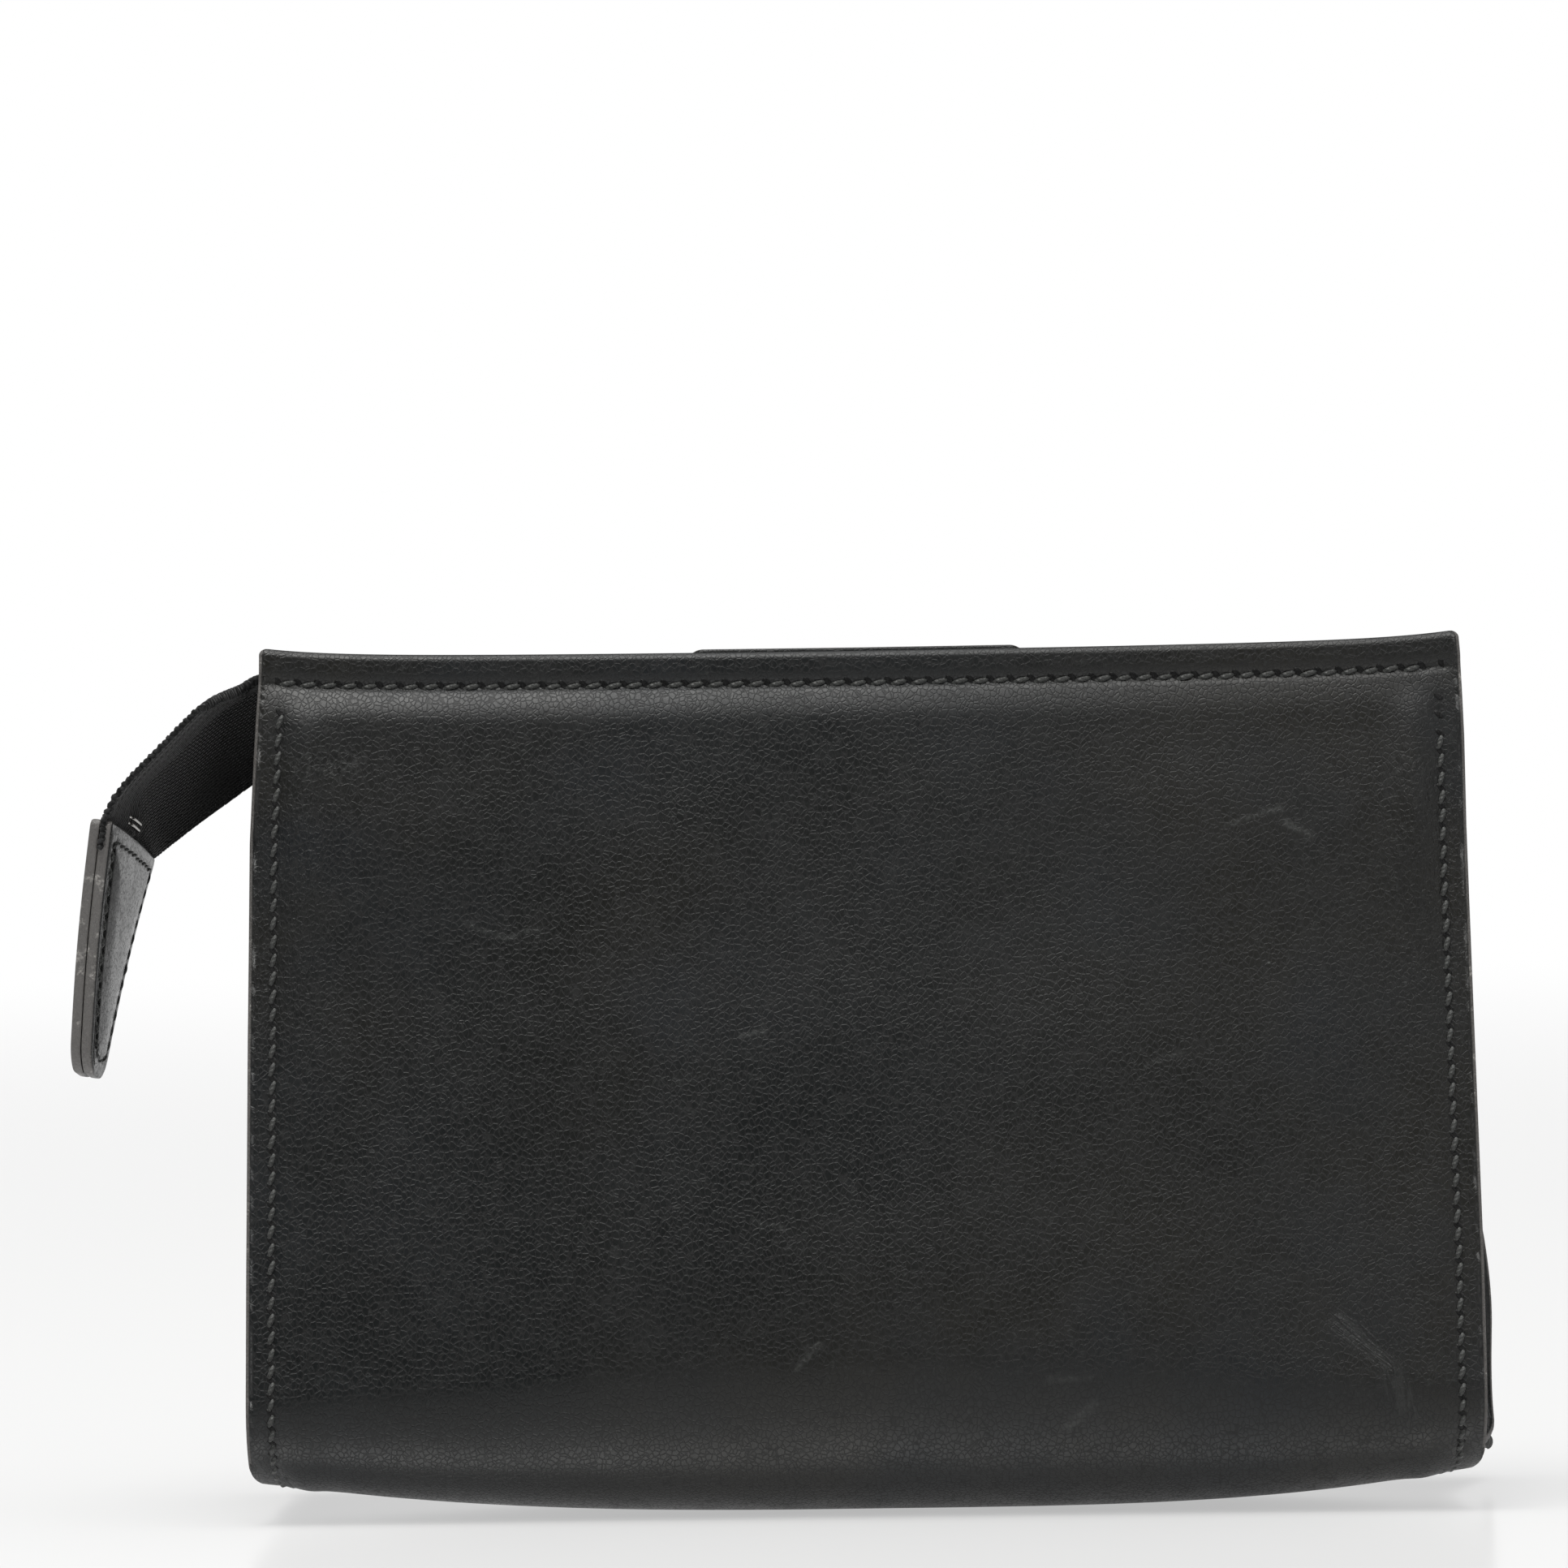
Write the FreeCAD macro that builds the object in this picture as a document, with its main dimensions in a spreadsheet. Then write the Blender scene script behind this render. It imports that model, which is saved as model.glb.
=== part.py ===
import FreeCAD, Part
import math
import os
import re
import Sketcher

# Driving dimensions, in millimetres and degrees. X runs along the mouth, -Y is the front, +Z is up,
# and the origin is the centre of the base.
SIZES = {
    "bag_width": 150.0,
    "bag_height": 108.0,
    "mouth_depth": 16.0,
    "panel_foot": 28.3,
    "corner_radius": 14.0,
    "band_height": 8.0,
    "leather_thick": 1.2,
    "hem_thick": 1.0,
    "lining_thick": 0.5,
    "lining_reach": 67.0,
    "flange_width": 4.0,
    "flange_thick": 1.0,
    "fold_top": 55.0,
    "fold_foot": 69.0,
    "web_edge_top": 75.5,
    "web_edge_foot": 73.0,
    "web_top": 2.4,
    "web_foot": 1.0,
    "tape_thick": 0.6,
    "tape_drop": 2.8,
    "tape_level": 102.6,
    "chain_gap": 1.2,
    "coil_width": 2.1,
    "coil_thick": 1.4,
    "coil_end": 68.5,
    "stop_length": 3.0,
    "slider_x": 62.0,
    "slider_length": 9.0,
    "slider_width": 8.4,
    "slider_nose": 5.6,
    "plate_thick": 0.7,
    "plate_gap": 0.3,
    "post_width": 0.8,
    "rail_width": 0.8,
    "bail_length": 5.4,
    "bail_width": 1.6,
    "bail_bar": 0.7,
    "bail_rise": 2.0,
    "puller_length": 20.0,
    "puller_width": 6.6,
    "puller_neck": 4.4,
    "puller_thick": 1.0,
    "puller_lift": 0.15,
    "eye_length": 3.2,
    "eye_width": 2.2,
    "tail_x": 76.2,
    "tail_slope": 43.0,
    "tail_gap": 1.0,
    "tail_length": 21.3,
    "tail_width": 28.0,
    "tab_drop": 22.3,
    "tab_slope": 81.7,
    "tab_yaw": 6.7,
    "tab_length": 32.0,
    "tab_top": 28.0,
    "tab_tip": 8.6,
    "tab_round": 3.2,
    "tab_layer": 1.1,
    "tab_core": 0.4,
    "patch_width": 44.0,
    "patch_drop": 24.0,
    "patch_rise": 0.5,
    "patch_thick": 1.0,
    "thread_radius": 0.22,
    "stitch_pitch": 2.6,
    "seam_pitch": 2.2,
    "stitch_drop": 4.0,
    "seam_inset": 3.0,
}

doc = FreeCAD.newDocument("MakeupBag")
sheet = doc.addObject("Spreadsheet::Sheet", "Sizes")
for row, (alias, value) in enumerate(SIZES.items(), start=1):
    sheet.set(f"A{row}", alias)
    sheet.set(f"B{row}", str(value))
    sheet.setAlias(f"B{row}", alias)
doc.recompute()

NODES = []


def size(alias):
    """A driving dimension, read from the sheet."""
    return float(sheet.get(alias))


def cells(formula):
    """The formula with each size's name pointing at its cell."""
    return re.sub(r"\b[a-z]+(_[a-z]+)+\b", r"Sizes.\g<0>", formula)


def node(shaped, label):
    """Names a finished sub-part, so that it is exported."""
    shaped.Label = label
    NODES.append(shaped)
    return shaped


# ---- Sketches and simple solids ------------------------------------------------------------------

def outline(body, role, corners, level="0"):
    """A closed polygon on an origin plane; each corner is a pair of formulas."""
    sketch = body.newObject("Sketcher::SketchObject", "Outline")
    plane = next(item for item in body.Origin.OriginFeatures if item.Role == role)
    sketch.AttachmentSupport = [(plane, "")]
    sketch.MapMode = "FlatFace"
    sketch.setExpression("AttachmentOffset.Base.z", cells(level))
    count = len(corners)
    turns = [2 * math.pi * index / count for index in range(count + 1)]
    starts = [FreeCAD.Vector(math.cos(turn), math.sin(turn), 0) for turn in turns]
    for index in range(count):
        sketch.addGeometry(Part.LineSegment(starts[index], starts[index + 1]), False)
    for index, corner in enumerate(corners):
        sketch.addConstraint(Sketcher.Constraint("Coincident", index, 2, (index + 1) % count, 1))
        for kind, formula in zip(("DistanceX", "DistanceY"), corner):
            number = sketch.addConstraint(Sketcher.Constraint(kind, -1, 1, index, 1, 1.0))
            sketch.setExpression(f"Constraints[{number}]", cells(formula))
    return sketch


def pad(body, sketch, length, both_ways=False):
    """Extrudes a sketch along its normal, or evenly to both sides of its plane."""
    feature = body.newObject("PartDesign::Pad", "Pad")
    feature.Profile = sketch
    feature.setExpression("Length", cells(length))
    if both_ways:
        feature.SideType = "Symmetric"
    sketch.Visibility = False
    doc.recompute()
    return feature


def fillet(body, base, radius, wanted):
    """Rounds the edges of base that wanted(edge) picks."""
    names = [f"Edge{number}" for number, edge in enumerate(base.Shape.Edges, start=1) if wanted(edge)]
    feature = body.newObject("PartDesign::Fillet", "Fillet")
    feature.Base = (base, names)
    feature.setExpression("Radius", cells(radius))
    doc.recompute()
    return feature


def new_body(name):
    return doc.addObject("PartDesign::Body", name)


def boolean(kind, name, first, second):
    """Part::Cut, Part::Fuse or Part::Common of two objects."""
    result = doc.addObject(kind, name)
    result.Base = first
    result.Tool = second
    doc.recompute()
    return result


def mirrored(source, normal, label):
    """The same piece on the other side of the bag."""
    copy = doc.addObject("Part::Mirroring", label)
    copy.Source = source
    copy.Normal = normal
    doc.recompute()
    return node(copy, label)


def block(name, low, high):
    """A body that is one box between two corners, each given as three formulas."""
    body = new_body(name)
    corners = [(low[0], low[1]), (high[0], low[1]), (high[0], high[1]), (low[0], high[1])]
    sketch = outline(body, "XY_Plane", corners, low[2])
    pad(body, sketch, f"({high[2]}) - ({low[2]})")
    return body


# ---- The bag's wedge section ---------------------------------------------------------------------

LEAN = "((panel_foot - mouth_depth / 2) / (bag_height - band_height))"
SLANT = f"sqrt(1 + {LEAN} * {LEAN})"


def section(inset, top):
    """The wedge's section, moved in by inset: a flat base, leaning panels and an upright band."""
    foot = f"(panel_foot - ({inset}) * ({SLANT} + {LEAN}))"
    mouth = f"(mouth_depth / 2 - ({inset}))"
    knee = f"((panel_foot - mouth_depth / 2 + ({inset}) * (1 - {SLANT})) / {LEAN})"
    right = [(foot, inset), (mouth, knee), (mouth, top)]
    left = [(f"-{across}", height) for across, height in reversed(right)]
    return right + left


def prism(name, inset, length, top):
    """The wedge as a solid bar along X, with its two lower edges rounded."""
    body = new_body(name)
    bar = pad(body, outline(body, "YZ_Plane", section(inset, top)), length, both_ways=True)
    base = min(edge.BoundBox.ZMin for edge in bar.Shape.Edges)

    def lower_edge(edge):
        return edge.BoundBox.XLength > 1 and edge.BoundBox.ZMax < base + 0.01

    fillet(body, bar, f"corner_radius - ({inset})", lower_edge)
    return body


def hem(name):
    """The panel's top edge, turned in and sewn down: one strip inside the upright band."""
    outer = "mouth_depth / 2 - leather_thick"
    low = ("-bag_width / 2", outer + " - hem_thick", "bag_height - band_height")
    high = ("bag_width / 2", outer, "bag_height")
    return block(name, low, high)


def leather_wrap():
    """Front, base and back in one wrapped piece of leather, with turned-in top edges."""
    outside = prism("WrapOutside", "0", "bag_width", "bag_height")
    inside = prism("WrapInside", "leather_thick", "bag_width + 2", "bag_height + 1")
    shell = boolean("Part::Cut", "WrapShell", outside, inside)
    back_hem = hem("HemBack")
    front_hem = doc.addObject("Part::Mirroring", "HemFront")
    front_hem.Source = back_hem
    front_hem.Normal = (0, 1, 0)
    with_back = boolean("Part::Fuse", "WrapWithBackHem", shell, back_hem)
    whole = boolean("Part::Fuse", "LeatherWrap", with_back, front_hem)
    whole.Refine = True
    doc.recompute()
    return node(whole, "leather_wrap")


def lining_wrap():
    """Thin lining against the leather, from the hems down and across the base."""
    top = "bag_height - band_height"
    outside = prism("LiningOutside", "leather_thick", "2 * lining_reach", top)
    inside = prism("LiningInside", "leather_thick + lining_thick", "2 * lining_reach + 2", top + " + 1")
    return node(boolean("Part::Cut", "LiningWrap", outside, inside), "lining_wrap")


def fold_web(name, top_shift, foot_shift, top_thick, foot_thick):
    """A sheet across the bag's end, folded inwards along its middle, deeper at the top."""
    body = new_body(name)

    def fold(reach, edge, depth, shift, thick, level):
        sides = [(edge, f"-({reach})"), (depth, "0"), (edge, reach)]
        outer = [(f"{along} - ({shift})", across) for along, across in sides]
        inner = [(f"{along} - ({shift}) - ({thick})", across) for along, across in reversed(sides)]
        return outline(body, "XY_Plane", outer + inner, level)

    low = fold("panel_foot", "web_edge_foot", "fold_foot", foot_shift, foot_thick, "0")
    height = "bag_height - band_height"
    high = fold("mouth_depth / 2", "web_edge_top", "fold_top", top_shift, top_thick, height)
    web = body.newObject("PartDesign::AdditiveLoft", "Web")
    web.Profile = low
    web.Sections = [high]
    web.Ruled = True
    doc.recompute()
    return body


def gussets():
    """The two ends: a folded web with a flange that is sewn inside the panels' edges."""
    top = "bag_height - band_height"
    flange_x = "bag_width / 2 - flange_width"
    clear = prism("GussetLimit", "leather_thick", "bag_width", top)
    hollow = prism("FlangeHollow", "leather_thick + flange_thick", "bag_width + 2", top + " + 1")
    ring = boolean("Part::Cut", "FlangeRing", clear, hollow)
    ends = block("FlangeEnd", (flange_x, "-panel_foot", "0"), ("bag_width / 2", "panel_foot", top))
    flange = boolean("Part::Common", "Flange", ring, ends)
    web = fold_web("GussetWeb", "0", "0", "web_top", "web_foot")
    clipped = boolean("Part::Common", "GussetWebClipped", web, clear)
    right = boolean("Part::Fuse", "GussetRight", clipped, flange)
    node(right, "gusset_right")
    mirrored(right, (1, 0, 0), "gusset_left")


def gusset_linings():
    """Lining sheets on the inner sides of the folded ends."""
    inset = "leather_thick + flange_thick"
    limit = prism("LiningLimit", inset, "bag_width", "bag_height - band_height")
    web = fold_web("LiningWeb", "web_top", "web_foot", "lining_thick * 2", "lining_thick")
    right = boolean("Part::Common", "LiningGussetRight", web, limit)
    node(right, "lining_gusset_right")
    mirrored(right, (1, 0, 0), "lining_gusset_left")


def back_patch():
    """A plain leather patch on the back, centred under the top edge and just proud of it."""
    face = "mouth_depth / 2"
    knee = "(bag_height - band_height)"
    foot = f"({knee} - (patch_drop - band_height))"
    reach = f"({face} + (patch_drop - band_height) * {LEAN})"
    outer = [(f"{reach} + patch_thick", foot), (f"{face} + patch_thick", knee),
             (f"{face} + patch_thick", "bag_height + patch_rise")]
    inner = [(face, "bag_height + patch_rise"), (face, knee), (reach, foot)]
    body = new_body("BackPatch")
    pad(body, outline(body, "YZ_Plane", outer + inner), "patch_width", both_ways=True)
    return node(body, "back_patch")


# ---- The zip -------------------------------------------------------------------------------------

def zip_tapes():
    """Two halves of woven tape, each sewn to a hem and turned in to the chain."""
    face = "(mouth_depth / 2 - leather_thick - hem_thick)"
    top = "(tape_level + tape_thick)"
    corners = [
        ("chain_gap / 2", "tape_level"),
        (f"{face} - tape_thick", "tape_level"),
        (f"{face} - tape_thick", f"{top} - tape_drop"),
        (face, f"{top} - tape_drop"),
        (face, top),
        ("chain_gap / 2", top),
    ]
    body = new_body("ZipTapeBack")
    pad(body, outline(body, "YZ_Plane", corners), "bag_width", both_ways=True)
    node(body, "zip_tape_back")
    mirrored(body, (0, 1, 0), "zip_tape_front")


def zip_coils():
    """The two rows of teeth, as plain bars, and the stops at their closed end."""
    near = "chain_gap / 2"
    far = "chain_gap / 2 + coil_width"
    foot = "tape_level + tape_thick"
    head = foot + " + coil_thick"
    coil = block("ZipCoilBack", ("-bag_width / 2", near, foot), ("coil_end", far, head))
    node(coil, "zip_coil_back")
    mirrored(coil, (0, 1, 0), "zip_coil_front")
    stop = block("TopStopBack", ("coil_end", near, foot), ("coil_end + stop_length", far, head + " + 0.2"))
    node(stop, "top_stop_back")
    mirrored(stop, (0, 1, 0), "top_stop_front")


COIL_TOP = "(tape_level + tape_thick + coil_thick)"
PLATE_TOP = f"({COIL_TOP} + plate_gap + plate_thick)"
PIVOT = f"({PLATE_TOP} + puller_lift + puller_thick / 2)"


def slider_body():
    """Two shield-shaped plates over and under the chain, joined by a post in its gap."""
    half = "slider_width / 2"
    tail = "slider_x - slider_length / 2"
    head = "slider_x + slider_length / 2"
    nose = "slider_nose / 2"
    shield = [
        (tail, f"-{nose}"), (f"{tail} + 2", f"-{half}"), (f"{head} - 1.5", f"-{half}"), (head, f"-{nose}"),
        (head, nose), (f"{head} - 1.5", half), (f"{tail} + 2", half), (tail, nose),
    ]
    body = new_body("SliderBody")
    low = "tape_level - plate_gap - plate_thick"
    pad(body, outline(body, "XY_Plane", shield, low), "plate_thick")
    post = [(f"{head} - 3", "-post_width / 2"), (f"{head} - 0.5", "-post_width / 2"),
            (f"{head} - 0.5", "post_width / 2"), (f"{head} - 3", "post_width / 2")]
    post_foot = "tape_level - plate_gap"
    pad(body, outline(body, "XY_Plane", post, post_foot), f"{COIL_TOP} + plate_gap - ({post_foot})")
    pad(body, outline(body, "XY_Plane", shield, f"{COIL_TOP} + plate_gap"), "plate_thick")
    for side in ("-", ""):
        edge = f"{side}({half})"
        inner = f"{side}({half} - rail_width)"
        rail = [(f"{tail} + 2", edge), (f"{head} - 1.5", edge), (f"{head} - 1.5", inner), (f"{tail} + 2", inner)]
        rail_foot = "tape_level + tape_thick + plate_gap"
        last = pad(body, outline(body, "XY_Plane", rail, rail_foot), f"{COIL_TOP} + plate_gap - ({rail_foot})")

    def top_rim(edge):
        box = edge.BoundBox
        return box.ZLength < 0.01 and box.ZMax > last.Shape.BoundBox.ZMax - 0.01

    fillet(body, last, "plate_thick / 2", top_rim)
    return node(body, "slider_body")


def slider_bail():
    """The arch on the slider that holds the puller's eye."""
    half = "bail_length / 2"
    outer = [(f"slider_x - {half}", PLATE_TOP), (f"slider_x - {half}", f"{PLATE_TOP} + bail_rise"),
             (f"slider_x + {half}", f"{PLATE_TOP} + bail_rise"), (f"slider_x + {half}", PLATE_TOP)]
    inside = f"({half} - bail_bar)"
    under = f"{PLATE_TOP} + bail_rise - bail_bar"
    inner = [(f"slider_x + {inside}", PLATE_TOP), (f"slider_x + {inside}", under),
             (f"slider_x - {inside}", under), (f"slider_x - {inside}", PLATE_TOP)]
    body = new_body("SliderBail")
    arch = pad(body, outline(body, "XZ_Plane", outer + inner), "bail_width", both_ways=True)
    top = arch.Shape.BoundBox.ZMax

    def shoulder(edge):
        box = edge.BoundBox
        return box.YLength > 1 and box.ZMax > top - 0.01

    fillet(body, arch, "bail_bar", shoulder)
    return node(body, "slider_bail")


def puller():
    """A flat metal puller with an eye round the bail, laid along the chain."""
    half = "puller_width / 2"
    neck = "puller_neck / 2"
    thick = "puller_thick"
    tip = "(slider_x - puller_length)"
    sides = [(f"slider_x + {thick} / 2", neck), ("slider_x - eye_length - 3", neck), (f"{tip} + 9", half),
             (f"{tip} + 2.5", half), (tip, f"{half} - 1.6")]
    mirror = [(along, f"-({across})") for along, across in reversed(sides)]
    body = new_body("Puller")
    low = f"{PIVOT} - {thick} / 2"
    plate = pad(body, outline(body, "XY_Plane", sides + mirror, low), thick)
    end = size("slider_x") + size("puller_thick") / 2

    def pivot_edge(edge):
        box = edge.BoundBox
        return box.YLength > 1 and box.XMin > end - 0.01

    fillet(body, plate, f"{thick} * 0.45", pivot_edge)
    eye = [(f"slider_x - {thick} / 2", "-eye_width / 2"), (f"slider_x - {thick} / 2", "eye_width / 2"),
           (f"slider_x - {thick} / 2 - eye_length", "eye_width / 2"),
           (f"slider_x - {thick} / 2 - eye_length", "-eye_width / 2")]
    cut = body.newObject("PartDesign::Pocket", "Eye")
    cut.Profile = outline(body, "XY_Plane", eye, low)
    cut.Type = "ThroughAll"
    cut.SideType = "Symmetric"
    doc.recompute()
    return node(body, "puller")


# ---- The zip's free tail and its leather tab -----------------------------------------------------

TAIL_Z = "(tape_level + tape_thick / 2)"


def hang(body, along, slope, yaw):
    """Places a body whose own +X runs down the tail; along is how far down the tail it starts."""
    base_x = f"-tail_x - ({along}) * cos(tail_slope * 1deg)"
    base_z = f"{TAIL_Z} - ({along}) * sin(tail_slope * 1deg)"
    turn = f"rotationz({yaw}) * rotationy(-({slope})) * rotationz(180)"
    body.setExpression("Placement", cells(f"placement(vector({base_x}; 0; {base_z}); {turn})"))
    doc.recompute()
    return body


def tail():
    """The end of the zip beyond the mouth: two tape halves, the closed chain and its end stop."""
    end = "tail_gap + tail_length"
    half = "tape_thick / 2"
    sheet_low = ("tail_gap", "chain_gap / 2", f"-{half}")
    front = block("TailTapeFront", sheet_low, (end, "tail_width / 2", half))
    node(hang(front, "0", "tail_slope", "0"), "tail_tape_front")
    back = block("TailTapeBack", ("tail_gap", "-tail_width / 2", f"-{half}"), (end, "-chain_gap / 2", half))
    node(hang(back, "0", "tail_slope", "0"), "tail_tape_back")
    width = "(chain_gap / 2 + coil_width)"
    coil_tip = f"{end} - stop_length - 1"
    coil = block("TailCoil", ("tail_gap", f"-{width}", half), (coil_tip, width, f"{half} + coil_thick"))
    node(hang(coil, "0", "tail_slope", "0"), "tail_coil")
    stop = block("BottomStop", (coil_tip, f"-{width}", half),
                 (f"{end} - 1", width, f"{half} + coil_thick + 0.2"))
    node(hang(stop, "0", "tail_slope", "0"), "bottom_stop")


def tab_layer(name, inset, low, thick):
    """One layer of the tab: straight tapering sides and a rounded tip."""
    body = new_body(name)
    tip = f"(tab_tip / 2 - ({inset}))"
    top = f"(tab_top / 2 - ({inset}))"
    foot = f"(tab_length - ({inset}))"
    head = f"(1 + ({inset}))"
    sketch = outline(body, "XY_Plane", [(head, f"-{top}"), (foot, f"-{tip}"), (foot, tip), (head, top)], low)
    plate = pad(body, sketch, thick)
    end = plate.Shape.BoundBox.XMax

    def tip_corner(edge):
        return edge.BoundBox.ZLength > 0.2 and edge.BoundBox.XMin > end - 0.01

    fillet(body, plate, f"tab_round - ({inset}) / 2", tip_corner)
    return hang(body, "tab_drop", "tab_slope", "-tab_yaw")


def tab():
    """Two leather layers sewn round a stiff core that holds the tape's end."""
    node(tab_layer("TabOuter", "0", "tab_core / 2", "tab_layer"), "tab_outer")
    node(tab_layer("TabInner", "0", "-tab_core / 2 - tab_layer", "tab_layer"), "tab_inner")
    node(tab_layer("TabCore", "1.5", "-tab_core / 2", "tab_core"), "tab_core")


# ---- Sewing thread -------------------------------------------------------------------------------

def stitches(points, normal_of, share):
    """One short thread between each two neighbouring points, lying on the surface."""
    radius = size("thread_radius")
    threads = []
    for start, end in zip(points, points[1:]):
        run = end - start
        middle = (start + end) / 2 + normal_of(start, end) * (radius + 0.02)
        length = run.Length * share
        direction = run.normalize()
        threads.append(Part.makeCylinder(radius, length, middle - direction * (length / 2), direction))
    return Part.makeCompound(threads)


def thread(label, shape):
    feature = doc.addObject("Part::Feature", label)
    feature.Shape = shape
    return node(feature, label)


def top_stitches():
    """Rows along the band, which hold the turned edges and the zip tapes."""
    reach = size("bag_width") / 2 - size("seam_inset")
    count = round(2 * reach / size("stitch_pitch"))
    height = size("bag_height") - size("stitch_drop")
    for label, side in (("thread_top_front", -1), ("thread_top_back", 1)):
        out = FreeCAD.Vector(0, side, 0)
        face = side * size("mouth_depth") / 2
        if side > 0:
            # The patch covers the middle of the back row.
            spans = [(-reach, -size("patch_width") / 2 - 1), (size("patch_width") / 2 + 1, reach)]
        else:
            spans = [(-reach, reach)]
        rows = []
        for low, high in spans:
            steps = round(count * (high - low) / (2 * reach))
            places = [low + (high - low) * step / steps for step in range(steps + 1)]
            points = [FreeCAD.Vector(place, face, height) for place in places]
            rows.append(stitches(points, lambda start, end, out=out: out, 0.8))
        thread(label, Part.makeCompound([stitch for group in rows for stitch in group.Solids]))


def seam_path(side):
    """Points down a side seam on the outer face: the leaning panel, then the rounded lower edge."""
    lean = (size("panel_foot") - size("mouth_depth") / 2) / (size("bag_height") - size("band_height"))
    tilt = math.atan(lean)
    radius = size("corner_radius")
    reach = radius / math.tan((math.pi / 2 - tilt) / 2)
    centre_y = size("panel_foot") - reach
    start = (size("mouth_depth") / 2, size("bag_height") - size("band_height"))
    end = (centre_y + radius * math.cos(tilt), radius + radius * math.sin(tilt))
    straight = math.dist(start, end)
    pitch = size("seam_pitch")
    last_angle = math.radians(-58)
    total = straight + radius * (tilt - last_angle)
    points = []
    for step in range(int(total / pitch) + 1):
        travelled = step * pitch
        if travelled <= straight:
            part = travelled / straight
            across = start[0] + (end[0] - start[0]) * part
            height = start[1] + (end[1] - start[1]) * part
        else:
            angle = tilt - (travelled - straight) / radius
            across = centre_y + radius * math.cos(angle)
            height = radius + radius * math.sin(angle)
        points.append(FreeCAD.Vector(0, side * across, height))
    return points


def side_stitches():
    """Rows down the four side seams, a little in from the raw edges."""
    inset = size("bag_width") / 2 - size("seam_inset")
    for face_name, side in (("front", -1), ("back", 1)):
        path = seam_path(side)

        def outward(start, end, side=side):
            return FreeCAD.Vector(1, 0, 0).cross(end - start).normalize() * side

        for end_name, end in (("left", -1), ("right", 1)):
            points = [point + FreeCAD.Vector(end * inset, 0, 0) for point in path]
            thread(f"thread_side_{face_name}_{end_name}", stitches(points, outward, 0.8))


def tab_stitches():
    """A row round the tab on both faces, following its tapering sides."""
    margin = 2.0
    top = size("tab_top") / 2 - margin
    tip = size("tab_tip") / 2 - margin
    head = 1 + margin
    foot = size("tab_length") - size("tab_round")
    level = size("tab_core") / 2 + size("tab_layer")
    count = round((foot - head) / size("seam_pitch"))
    rows = []
    for face in (-1, 1):
        out = FreeCAD.Vector(0, 0, face)
        for side in (-1, 1):
            points = []
            for step in range(count + 1):
                part = step / count
                across = side * (top + (tip - top) * part)
                points.append(FreeCAD.Vector(head + (foot - head) * part, across, face * level))
            rows += stitches(points, lambda start, end, out=out: out, 0.8).Solids
    feature = thread("thread_tab", Part.makeCompound(rows))
    feature.Placement = next(item for item in NODES if item.Label == "tab_outer").Placement


def patch_stitches():
    """A row down each side of the back patch and one across under its top edge."""
    face = size("mouth_depth") / 2 + size("patch_thick")
    out = FreeCAD.Vector(0, 1, 0)
    reach = size("patch_width") / 2 - 2
    height = size("bag_height") - size("stitch_drop")
    count = round(2 * reach / size("stitch_pitch"))
    points = [FreeCAD.Vector(-reach + 2 * reach * step / count, face, height) for step in range(count + 1)]
    thread("thread_patch", stitches(points, lambda start, end: out, 0.8))


leather_wrap()
lining_wrap()
gussets()
gusset_linings()
back_patch()
zip_tapes()
zip_coils()
slider_body()
slider_bail()
puller()
tail()
tab()
top_stitches()
side_stitches()
tab_stitches()
patch_stitches()
doc.recompute()

for item in doc.Objects:
    if {"Invalid", "Error"} & set(item.State):
        raise RuntimeError(f"{item.Name} failed: {item.State}")
for item in NODES:
    if item.Shape.isNull() or not item.Shape.isValid():
        raise RuntimeError(f"{item.Label} has no valid shape")

os.makedirs("parts", exist_ok=True)
for item in NODES:
    item.Shape.exportStep(f"parts/{item.Label}.step")
    box = item.Shape.BoundBox
    low = f"{box.XMin:8.2f} {box.YMin:8.2f} {box.ZMin:8.2f}"
    high = f"{box.XMax:8.2f} {box.YMax:8.2f} {box.ZMax:8.2f}"
    print(f"{item.Label:26} solids {len(item.Shape.Solids):3}  volume {item.Shape.Volume:9.2f}  {low} {high}")
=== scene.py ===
import math

import bmesh
import bpy
import numpy as np
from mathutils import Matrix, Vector


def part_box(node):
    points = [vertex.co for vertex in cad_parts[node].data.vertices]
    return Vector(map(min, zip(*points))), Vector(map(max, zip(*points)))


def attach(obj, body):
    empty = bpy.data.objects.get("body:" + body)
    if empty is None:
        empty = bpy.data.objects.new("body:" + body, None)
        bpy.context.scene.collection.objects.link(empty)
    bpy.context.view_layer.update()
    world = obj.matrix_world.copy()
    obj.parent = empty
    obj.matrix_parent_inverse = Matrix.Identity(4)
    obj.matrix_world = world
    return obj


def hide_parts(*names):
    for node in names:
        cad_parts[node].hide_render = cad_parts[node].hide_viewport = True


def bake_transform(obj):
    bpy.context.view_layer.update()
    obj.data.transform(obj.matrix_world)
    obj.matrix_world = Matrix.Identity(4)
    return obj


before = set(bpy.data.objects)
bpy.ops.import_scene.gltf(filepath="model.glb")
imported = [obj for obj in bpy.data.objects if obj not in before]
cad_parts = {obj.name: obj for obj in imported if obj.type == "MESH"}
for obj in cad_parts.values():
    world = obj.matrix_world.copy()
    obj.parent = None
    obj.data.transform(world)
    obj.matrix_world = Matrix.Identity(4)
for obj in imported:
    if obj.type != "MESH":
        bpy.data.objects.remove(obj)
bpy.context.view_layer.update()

MM = 0.001
TURN = 2 * math.pi
rng = np.random.default_rng(11)


def box_mm(node):
    low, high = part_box(node)
    return np.array(low) / MM, np.array(high) / MM


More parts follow.
